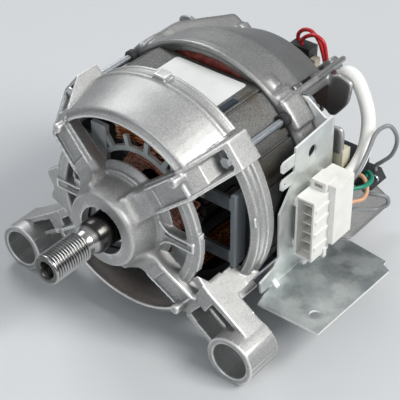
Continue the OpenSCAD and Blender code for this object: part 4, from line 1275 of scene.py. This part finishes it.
@dataclass
class Edged:
    """Nodes that keep their form and get small bevelled edges."""

    shop: Workshop
    widths_mm: tuple[tuple[str, float], ...] = (
        ("connector_bracket", 0.25), ("connector_housing", 0.25), ("bracket_screws", 0.3),
        ("tacho_housing", 0.4), ("tacho_plug", 0.3), ("brush_holder_right", 0.4), ("brush_holder_left", 0.4),
        ("stator_core", 0.2))
    flat_deg: float = 1.0
    edge_deg: float = 32.0
    segments: int = 2
    face_weight: int = 100

    def build(self) -> None:
        """Makes every bevelled copy."""
        for node, width in self.widths_mm:
            self.shop.stand_in(node, node + "_edged", self.copy(node, width))

    def copy(self, node: str, width_mm: float) -> Mesh:
        """Copies a node with its flat faces joined and its edges bevelled.

        Args:
            node: Name of the node.
            width_mm: Width of its bevels in millimetres.

        Returns:
            The bevelled mesh.
        """
        bm = self.shop.merged(node)
        bmesh.ops.dissolve_limit(bm, angle_limit=math.radians(self.flat_deg), verts=bm.verts, edges=bm.edges)

        def dress(passing: Thing) -> None:
            """Adds the bevel.

            Args:
                passing: Object with the copy.
            """
            bevel = passing.modifiers.new("bevel", "BEVEL")
            bevel.width = width_mm * MM
            bevel.segments = self.segments
            bevel.limit_method = "ANGLE"
            bevel.angle_limit = math.radians(self.edge_deg)
            passing.modifiers.new("weigh", "WEIGHTED_NORMAL").weight = self.face_weight

        return baked(mesh_from(bm, node), dress)


@dataclass
class Shaft:
    """Shaft with its grooved pulley end, tapped hole, neck, cone and seats, as turned.

    The cone's end is given as radius and distance behind the grooves, and each seat as radius and the Y of its
    rear end.
    """

    shop: Workshop
    tip_y_mm: float = -37.4
    pulley_r_mm: float = 7.6
    land_mm: float = 1.2
    grooves: int = 13
    groove_mm: float = 1.2
    pitch_mm: float = 1.6
    root_share: Span = (0.42, 0.58)
    crest_share: float = 0.92
    crest_drop_mm: float = 0.05
    hole_r_mm: float = 4.0
    hole_depth_mm: float = 18.0
    hole_cone_mm: float = 2.0
    hole_mouth_mm: float = 1.0
    rim_mm: float = 0.6
    last_crest_mm: Span = (0.4, 0.6)
    neck_len_mm: float = 4.0
    neck_swell_mm: Span = (0.15, 0.4)
    cone_end_mm: Outline = ((8.3, 8.1), (8.5, 8.7))
    seats_mm: Outline = ((8.5, 15.6), (10.5, 32), (9, 128), (7.5, 140), (6, 150), (4, 160.1))
    chamfer_mm: float = 0.4
    facets: int = 128
    sharp_deg: float = 50.0

    def build(self) -> None:
        """Makes the shaft."""
        mesh = crisp(turned(self.tip() + self.body(), steps=self.facets), "shaft_turned", self.sharp_deg)
        self.shop.stand_in("shaft", "shaft_turned", mesh, Body.ROTOR)

    def tip(self) -> list[Span]:
        """Profile of the tapped hole and the grooves, from the hole's end outward.

        Returns:
            Corners as radius and Y in millimetres.
        """
        crest, root, hole = self.pulley_r_mm, self.pulley_r_mm - self.groove_mm, self.hole_r_mm
        tip, hole_end = self.tip_y_mm, self.tip_y_mm + self.hole_depth_mm
        profile = [(0, hole_end), (hole, hole_end - self.hole_cone_mm), (hole, tip + self.hole_mouth_mm),
                   (hole + self.hole_mouth_mm, tip), (crest - self.rim_mm, tip), (crest, tip + self.rim_mm),
                   (crest, tip + self.land_mm)]
        for groove in range(self.grooves):
            low = tip + self.land_mm + groove * self.pitch_mm
            profile += [(root, low + share * self.pitch_mm) for share in self.root_share]
            profile += [(crest - self.crest_drop_mm, low + self.crest_share * self.pitch_mm),
                        (crest, low + self.pitch_mm)]
        return profile

    def body(self) -> list[Span]:
        """Profile behind the grooves: neck, cone and one step for each seat, with a chamfer at the rear end.

        Returns:
            Corners as radius and Y in millimetres.
        """
        start = self.tip_y_mm + self.land_mm + self.grooves * self.pitch_mm
        crest, root = self.pulley_r_mm, self.pulley_r_mm - self.groove_mm
        drop, run = self.last_crest_mm
        swell, swell_len = self.neck_swell_mm
        profile = [(crest - drop, start + drop), (root, start + run), (root, start + self.neck_len_mm),
                   (root + swell, start + self.neck_len_mm + swell_len)]
        profile += [(radius, start + off) for radius, off in self.cone_end_mm]
        step = profile[-1][1]
        for radius, end in self.seats_mm:
            profile += [(radius, step), (radius, end)]
            step = end
        return profile + [(radius - self.chamfer_mm, end + self.chamfer_mm), (0, end + self.chamfer_mm)]


@dataclass
class Fittings:
    """Tie bolts with their collars, a terminal block and a terminal screw.

    A bolt's head is given as the Y of its top, of its flange and of its seat.
    """

    shop: Workshop
    bolt_mm: Span = (47.44, 40.99)
    rod_r_mm: float = 1.9
    bolt_facets: int = 32
    flange_r_mm: float = 3.4
    flange_lap_mm: float = 0.1
    flange_chamfer_mm: Span = (0.4, 0.3)
    hexagon_r_mm: float = 3.1
    head_mm: Point = (33.8, 37.0, 38.0)
    head_round_mm: float = 0.35
    head_segments: int = 2
    collar_facets: int = 24
    collar: Outline = ((2.0, 76.6), (2.9, 76.6), (3.5, 77.4), (3.5, 80.2), (2.0, 80.2))
    block_base: tuple[Point, Point] = ((59, 104.6, 6.4), (65.6, 110, 16.4))
    block_top: tuple[Point, Point] = ((60, 110, 6.4), (64.6, 113, 14.6))
    screw_mm: Span = (73.4, -7.6)
    screw_facets: int = 20
    screw: Outline = ((0, 124.4), (1.7, 124.4), (1.9, 124.7), (1.9, 125.4), (1.5, 125.9), (0, 126))

    def build(self) -> None:
        """Makes the pieces."""
        bolts = joined(part for place in self.corners() for part in self.tie_bolt(place))
        self.shop.stand_in("tie_bolts", "tie_bolts_turned", crisp(bolts, "tie_bolts_turned"))
        # Black collars at the rear ends of the bolts: real black sleeves that also stand in for the dark gap
        # there, as painted shade
        collars = joined(turned(self.collar, steps=self.collar_facets, place=place)
                         for place in self.corners())
        self.shop.piece("bolt_collars", crisp(collars, "bolt_collars"), "black_plastic")
        terminal = joined([block(*self.block_base), block(*self.block_top)])
        self.shop.piece("terminal_block", mesh_from(terminal, "terminal_block", False), "cream_plastic")
        x, z = self.screw_mm
        screw = turned(self.screw, steps=self.screw_facets, place=Matrix.Translation(mm(x, 0, z)))
        self.shop.piece("terminal_screw", crisp(screw, "terminal_screw"), "zinc_steel")

    def corners(self) -> list[Matrix]:
        """Places of the four tie bolts."""
        x, z = self.bolt_mm
        return [Matrix.Translation(mm(right * x, 0, up * z)) for right in (-1, 1) for up in (-1, 1)]

    def tie_bolt(self, place: Matrix) -> list[Solid]:
        """Makes one tie bolt.

        Args:
            place: Its place.

        Returns:
            Its rod with the flange, and the hexagon of its head.
        """
        top, flange, seat = self.head_mm
        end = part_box("tie_bolts")[1].y / MM
        front, rim_r, rod_r = flange - self.flange_lap_mm, self.flange_r_mm, self.rod_r_mm
        radial, axial = self.flange_chamfer_mm
        rod = turned(((0, front), (rim_r - radial, front), (rim_r, front + axial), (rim_r, seat),
                      (rod_r, seat), (rod_r, end), (0, end)), steps=self.bolt_facets, place=place)
        angles = [math.radians(60 * i) for i in range(6)]
        hexagon = [(self.hexagon_r_mm * math.cos(a), self.hexagon_r_mm * math.sin(a)) for a in angles]
        head = plate(hexagon, -flange, -top, place @ ALONG_SHAFT)
        rim = [e for e in head.edges if max(v.co.y for v in e.verts) < (top + flange) / 2 * MM]
        bevelled(head, rim, self.head_round_mm, self.head_segments)
        return [rod, head]


def curve_through(route: Sequence[Vector], steps: int) -> list[Vector]:
    """Smooth line through the points of a route.

    Args:
        route: Points to go through.
        steps: Steps between each two points.

    Returns:
        The points of the line.
    """
    line: list[Vector] = []
    last = len(route) - 1
    for i in range(last):
        a, b, c, d = (route[max(i - 1, 0)], route[i], route[i + 1], route[min(i + 2, last)])
        for k in range(steps):
            f = k / steps
            line.append(0.5 * (2 * b + (c - a) * f + (2 * a - 5 * b + 4 * c - d) * f * f
                               + (3 * b - a - 3 * c + d) * f ** 3))
    return line + [route[last]]


def tube(name: str, lines: Sequence[Sequence[Vector]], radius_mm: float, round_off: int = 3) -> Mesh:
    """Tubes along lines.

    Args:
        name: Name of the mesh.
        lines: One list of points for each tube.
        radius_mm: Radius of the tubes in millimetres.
        round_off: Roundness of the section.

    Returns:
        The tubes as one mesh.
    """
    curve = bpy.data.curves.new(name, "CURVE")
    curve.dimensions = "3D"
    curve.bevel_depth = radius_mm * MM
    curve.bevel_resolution = round_off
    curve.use_fill_caps = True
    for line in lines:
        spline = curve.splines.new("POLY")
        spline.points.add(len(line) - 1)
        for point, place in zip(spline.points, line):
            point.co = (*place, 1.0)
    return shaded(settled(stood(name, curve)))


@dataclass(frozen=True)
class Lead:
    """One lead or sleeve: the node that it stands for, its routes in millimetres and its diameter."""

    node: str
    routes: tuple[tuple[Point, ...], ...]
    diameter_mm: float = 2.2


LEADS = (
    Lead("loom_sleeve", (((43.5, 134, 35), (47.5, 132.5, 41.5), (53, 132.3, 40.5), (58.5, 131, 34.5),
                          (64, 128, 27), (67, 124.5, 19.5), (70, 117, 12.5), (71.5, 108, 8.5), (72, 101, 7.5),
                          (72, 95, 7.5)),), 7.5),
    Lead("lead_grey_long", (((77, 95, 10.6), (77, 100, 10.6), (76, 110, 16.5), (75, 119, 24), (78, 125, 26.3),
                             (80.8, 128, 21.5), (81, 129.5, 14.4), (78.5, 129.8, 6.4), (74, 129, 0.8),
                             (71, 128.5, -2.5), (71, 128.5, -5.5)),)),
    Lead("lead_grey_loop", (((76.5, 95, -12), (76.5, 102, -12), (78.5, 110, -16), (81.5, 115.5, -17.5),
                             (85, 119, -15), (84.4, 119, -11), (80.5, 115.5, -9), (76.4, 113.8, -9),
                             (73.2, 115, -9), (72.5, 117, -9), (72.5, 119, -9)),)),
    Lead("lead_green", (((74, 95, 0), (74, 100, 0), (77.3, 107, -0.5), (77.6, 113, -1), (75.5, 117.5, -1.2),
                         (72, 120, -1.6), (70, 121, -3.2), (70, 121, -5.5)),)),
    Lead("lead_peach", (((76, 95, -6), (76, 99, -6), (78.8, 104, -6), (78, 109.5, -5.5), (75.5, 113, -3),
                         (72, 114.5, -1), (68, 114.5, -1)),)),
    Lead("leads_red", (((0, 158.5, 31.5), (0, 158.5, 35), (3, 158.5, 38.5), (8, 158.5, 39.5),
                        (13, 158.5, 35.5), (16, 158.5, 29), (18, 158.5, 23.5), (23, 158, 20.5),
                        (30, 154, 20.5), (35, 146, 22), (39, 139, 26), (42.8, 134.75, 30.95),
                        (44.8, 134, 34.2)),
                       ((4.5, 155.5, 31.5), (4.5, 155.5, 34.5), (8, 155.5, 38), (13, 155.5, 39.8),
                        (18, 155.5, 37.5), (20, 155.5, 31), (21, 155.5, 27), (25, 156, 24.5), (30, 153, 23.5),
                        (33.5, 146, 25.5), (37, 139, 28.5), (40.2, 134.75, 32.55), (42.2, 134, 35.8)))),
)


@dataclass
class Loom:
    """Leads between the connector, the brush gear and the tacho."""

    shop: Workshop
    steps: int = 8

    def build(self) -> None:
        """Makes every lead as a smooth tube."""
        for lead in LEADS:
            lines = [curve_through([mm(*point) for point in route], self.steps) for route in lead.routes]
            self.shop.stand_in(lead.node, lead.node + "_smooth", tube(lead.node, lines, lead.diameter_mm / 2))


@dataclass
class Windings:
    """Field coils wound with fine wire over the poles."""

    shop: Workshop
    wire_mm: float = 1.0
    pitch_mm: float = 1.12
    low_r_mm: float = 32.5
    high_r_mm: float = 45.6
    inner_half_w_mm: float = 16.8
    outer_half_w_mm: float = 29.9
    inner_half_len_mm: float = 20.05
    corner_mm: float = 4.6
    mid_y_mm: float = 64.0
    points: int = 44
    wander_mm: float = 0.36
    waves: int = 3
    wave_shift: float = 5.0
    seed: int = 7

    def build(self) -> None:
        """Makes both field coils."""
        for node, pole in (("field_coil_top", Pole.TOP), ("field_coil_bottom", Pole.BOTTOM)):
            self.shop.stand_in(node, node + "_wound", tube(node, [self.coil_line(pole)], self.wire_mm / 2, 0))

    def coil_line(self, pole: Pole) -> list[Vector]:
        """Centreline of one coil, wound row by row, out and in again. Each turn wanders a little.

        Args:
            pole: Pole that it is wound on.

        Returns:
            The points of the wire in metres.
        """
        dice = random.Random(self.seed + pole)
        rows = int((self.high_r_mm - self.low_r_mm) / self.pitch_mm)
        columns = int((self.outer_half_w_mm - self.inner_half_w_mm) / self.pitch_mm)
        line: list[Vector] = []
        for row in range(rows):
            order = range(columns) if row % 2 == 0 else range(columns - 1, -1, -1)
            radius = self.low_r_mm + self.pitch_mm * (row + 0.5)
            for column in order:
                sway = [dice.uniform(-1, 1) * self.wander_mm for _ in range(2 * self.waves)]
                for k in range(self.points):
                    turn = k / self.points
                    wave = [math.sin(math.tau * (i % self.waves + 1) * turn + self.wave_shift * reach) * reach
                            for i, reach in enumerate(sway)]
                    outward, upward = sum(wave[:self.waves]), sum(wave[self.waves:])
                    across, along = self.around(turn, self.pitch_mm * (column + 0.5) + outward)
                    angle = math.pi / 2 - across / radius
                    r = radius + upward
                    line.append(mm(r * math.cos(angle), self.mid_y_mm + along, pole * r * math.sin(angle)))
        return line

    def around(self, phase: float, grow: float) -> tuple[float, float]:
        """Point on the turn round the pole: four straight sides, each with a rounded corner after it.

        Args:
            phase: Share of the turn, from 0 up to 1.
            grow: Distance outside the innermost edge, in millimetres.

        Returns:
            Distance across the pole and along the shaft, in millimetres.
        """
        half_w, half_l = self.inner_half_w_mm + grow, self.inner_half_len_mm + grow
        corner = self.corner_mm + grow
        sides = ((half_w, half_l - corner), (half_l, half_w - corner))
        arc = math.pi / 2 * corner
        way = phase * 4 * (half_w + half_l - 2 * corner + arc)
        side = 0
        while way > 2 * sides[side % 2][1] + arc:
            way -= 2 * sides[side % 2][1] + arc
            side += 1
        reach, flat = sides[side % 2]
        turn = max(0.0, way - 2 * flat) / corner
        out = reach - corner * (1 - math.cos(turn))
        ahead = min(way, 2 * flat) - flat + corner * math.sin(turn)
        right, up = ((1, 0), (0, -1), (-1, 0), (0, 1))[side]
        return right * out + up * ahead, up * out - right * ahead


@dataclass
class RotorEnds:
    """Lacquered wire bundles that cross from slot to slot in front of and behind the rotor iron.

    The shares of the bulge are that of the lowest wire, and what the last strand and the last coil add to it.
    """

    shop: Workshop
    slots_round: int = 22
    span: int = 9
    wire_mm: float = 0.9
    strands: int = 14
    slot_r_mm: float = 22.0
    slot_half_mm: float = 1.76
    neck_r_mm: float = 12.2
    neck_spread_mm: float = 5.2
    neck_step_mm: float = 1.6
    neck_power: float = 1.3
    bulge_mm: float = 10.4
    bulge_shares: Point = (0.38, 0.24, 0.32)
    jitter_mm: float = 0.1
    face_gap_mm: float = 0.3
    rise: float = 2.2
    rise_power: float = 0.6
    steps: int = 14
    seed: int = 3

    def build(self) -> None:
        """Makes both ends."""
        low, high = (corner.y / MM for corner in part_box("rotor_core"))
        lines = self.end_lines(low, End.FRONT) + self.end_lines(high, End.REAR)
        mesh = tube("rotor_ends", lines, self.wire_mm / 2, 0)
        self.shop.stand_in("rotor_winding", "rotor_end_windings", mesh, Body.ROTOR)

    def end_lines(self, face: float, end: End) -> list[list[Vector]]:
        """Wires of one end. Each later strand and each later coil rises further from the iron.

        Args:
            face: Y of the iron's face in millimetres.
            end: End that it is.

        Returns:
            One list of points for each wire.
        """
        dice = random.Random(self.seed + end)
        least, by_strand, by_coil = self.bulge_shares
        sweep = math.tau * self.span / self.slots_round
        lines = []
        for coil in range(self.slots_round):
            first = math.tau * coil / self.slots_round
            for strand in range(self.strands):
                share = strand / self.strands
                lift = self.bulge_mm * (least + by_strand * share + by_coil * coil / self.slots_round)
                lift += dice.uniform(-self.jitter_mm, self.jitter_mm)
                neck = self.neck_r_mm + self.neck_spread_mm * share + self.neck_step_mm * (strand % 2)
                start = self.slot_r_mm + self.slot_half_mm * (2 * share - 1)
                line = []
                for k in range(self.steps + 1):
                    f = k / self.steps
                    hump = math.sin(math.pi * f)
                    angle = first + sweep * f
                    r = start - (start - neck) * hump ** self.neck_power
                    y = face + end * (self.face_gap_mm + lift * min(1.0, self.rise * hump) ** self.rise_power)
                    line.append(mm(r * math.cos(angle), y, r * math.sin(angle)))
                lines.append(line)
        return lines


@dataclass
class Label:
    """Blank film label on the top flat of the iron."""

    shop: Workshop
    low_mm: Span = (-17.4, 54.0)
    high_mm: Span = (25.6, 79.0)
    corner_mm: float = 1.8
    corner_segments: int = 5
    thick_mm: float = 0.12

    def build(self) -> None:
        """Makes the label."""
        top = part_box("stator_core")[1].z / MM
        film = block((*self.low_mm, top), (*self.high_mm, top + self.thick_mm))
        upright = [e for e in film.edges if e.verts[0].co.xy == e.verts[1].co.xy]
        bevelled(film, upright, self.corner_mm, self.corner_segments)
        self.shop.piece("blank_label", mesh_from(film, "blank_label", False), "white_plastic",
                        finish="label_film")


def looking(eye: Vector, target: Vector) -> Matrix:
    """Place at a point, turned to look at another."""
    turn = (target - eye).to_track_quat("-Z", "Y").to_matrix().to_4x4()
    return Matrix.Translation(eye) @ turn


@dataclass(frozen=True)
class Lamp:
    """One square lamp, in metres and watts."""

    name: str
    place: Point
    aim: Point
    size: float
    watts: float
    tint: Point


@dataclass
class Studio:
    """Camera, floor, lamps and surroundings, in metres where a name says nothing else."""

    floor_z: float
    eye_mm: Point = (346.93, -355.50, 389.40)
    target_mm: Point = (21.4, 48.0, -0.1)
    roll_deg: float = -0.315
    lens_mm: float = 119.99
    sensor_mm: float = 36.0
    sight: float = 100.0
    floor_size: float = 40.0
    paper: Colour = rgb(0.66, 0.675, 0.69)
    paper_rough: float = 0.6
    key: Lamp = Lamp("key", (0.85, 0.24, 0.82), (0.02, 0.05, 0), 0.5, 11.4, (1, 0.99, 0.97))
    rim: Lamp = Lamp("rim", (-0.75, 0.5, 0.8), (0, 0.05, 0), 0.45, 4, (0.97, 0.985, 1))
    fill: Lamp = Lamp("fill", (0.1, -1.1, 0.6), (0, 0.03, 0), 0.6, 2.8, (0.94, 0.975, 1))
    level_light: Colour = rgb(0.09, 0.105, 0.13)
    high_light: Colour = rgb(0.64, 0.66, 0.68)
    high_at: float = 0.9
    room_strength: float = 0.63

    def build(self) -> None:
        """Sets the whole stage."""
        self.set_camera()
        self.lay_floor()
        self.hang_lamps()
        self.light_room()
        bpy.context.scene.view_settings.view_transform = "Standard"

    def set_camera(self) -> None:
        """Looks at the motor as the photograph does."""
        data = bpy.data.cameras.new("camera")
        data.lens = self.lens_mm
        data.sensor_width = self.sensor_mm
        data.clip_end = self.sight
        made = stood("camera", data)
        roll = Matrix.Rotation(math.radians(self.roll_deg), 4, "Z")
        made.matrix_world = looking(mm(*self.eye_mm), mm(*self.target_mm)) @ roll
        bpy.context.scene.camera = made

    def lay_floor(self) -> None:
        """Lays a pale floor under the motor."""
        bm = bmesh.new()
        bmesh.ops.create_grid(bm, x_segments=1, y_segments=1, size=self.floor_size,
                              matrix=Matrix.Translation((0, 0, self.floor_z)))
        made = stood("floor", mesh_from(bm, "floor", False))
        made.data.materials.append(Graph("floor_paper").finish(self.paper, self.paper_rough))
        made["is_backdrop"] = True

    def hang_lamps(self) -> None:
        """Hangs the key on the upper right, a rim light behind on the left and a fill in front."""
        for lamp in (self.key, self.rim, self.fill):
            data = bpy.data.lights.new(lamp.name, "AREA")
            data.size = lamp.size
            data.energy = lamp.watts
            data.color = lamp.tint
            stood(lamp.name, data).matrix_world = looking(Vector(lamp.place), Vector(lamp.aim))

    def light_room(self) -> None:
        """Makes a soft room that is dark at eye level and bright overhead."""
        world = bpy.data.worlds.new("room")
        bpy.context.scene.world = world
        world.use_nodes = True
        tree = world.node_tree
        room = tree.nodes["Background"]
        coords = tree.nodes.new("ShaderNodeTexCoord")
        split = tree.nodes.new("ShaderNodeSeparateXYZ")
        ramp = tree.nodes.new("ShaderNodeValToRGB")
        level, high = ramp.color_ramp.elements
        level.position, level.color = 0.0, self.level_light
        high.position, high.color = self.high_at, self.high_light
        tree.links.new(coords.outputs["Generated"], split.inputs[0])
        tree.links.new(split.outputs["Z"], ramp.inputs[0])
        tree.links.new(ramp.outputs[0], room.inputs["Color"])
        room.inputs["Strength"].default_value = self.room_strength


def as_list(box: Sequence[Vector]) -> list[list[float]]:
    """Corners as plain numbers."""
    return [[float(v) for v in corner] for corner in box]


def main() -> None:
    """Builds the motor's looks round the frame."""
    logging.basicConfig(level=logging.INFO, format="%(message)s")
    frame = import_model()
    cad_box = as_list(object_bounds())
    slots = {row["node"]: row["material_slot"] for row in frame["record"]["subparts"]}
    shop = Workshop(frame["nodes"], slots)
    for node, made in frame["nodes"].items():
        shop.dress(made.data, slots[node])
    for kind in (Castings, Edged, Shaft, Windings, RotorEnds, Loom, Fittings, Label):
        kind(shop).build()
        log.info("built %s", kind.__name__)
    Studio(cad_box[0][2]).build()


if __name__ == "__main__":
    main()
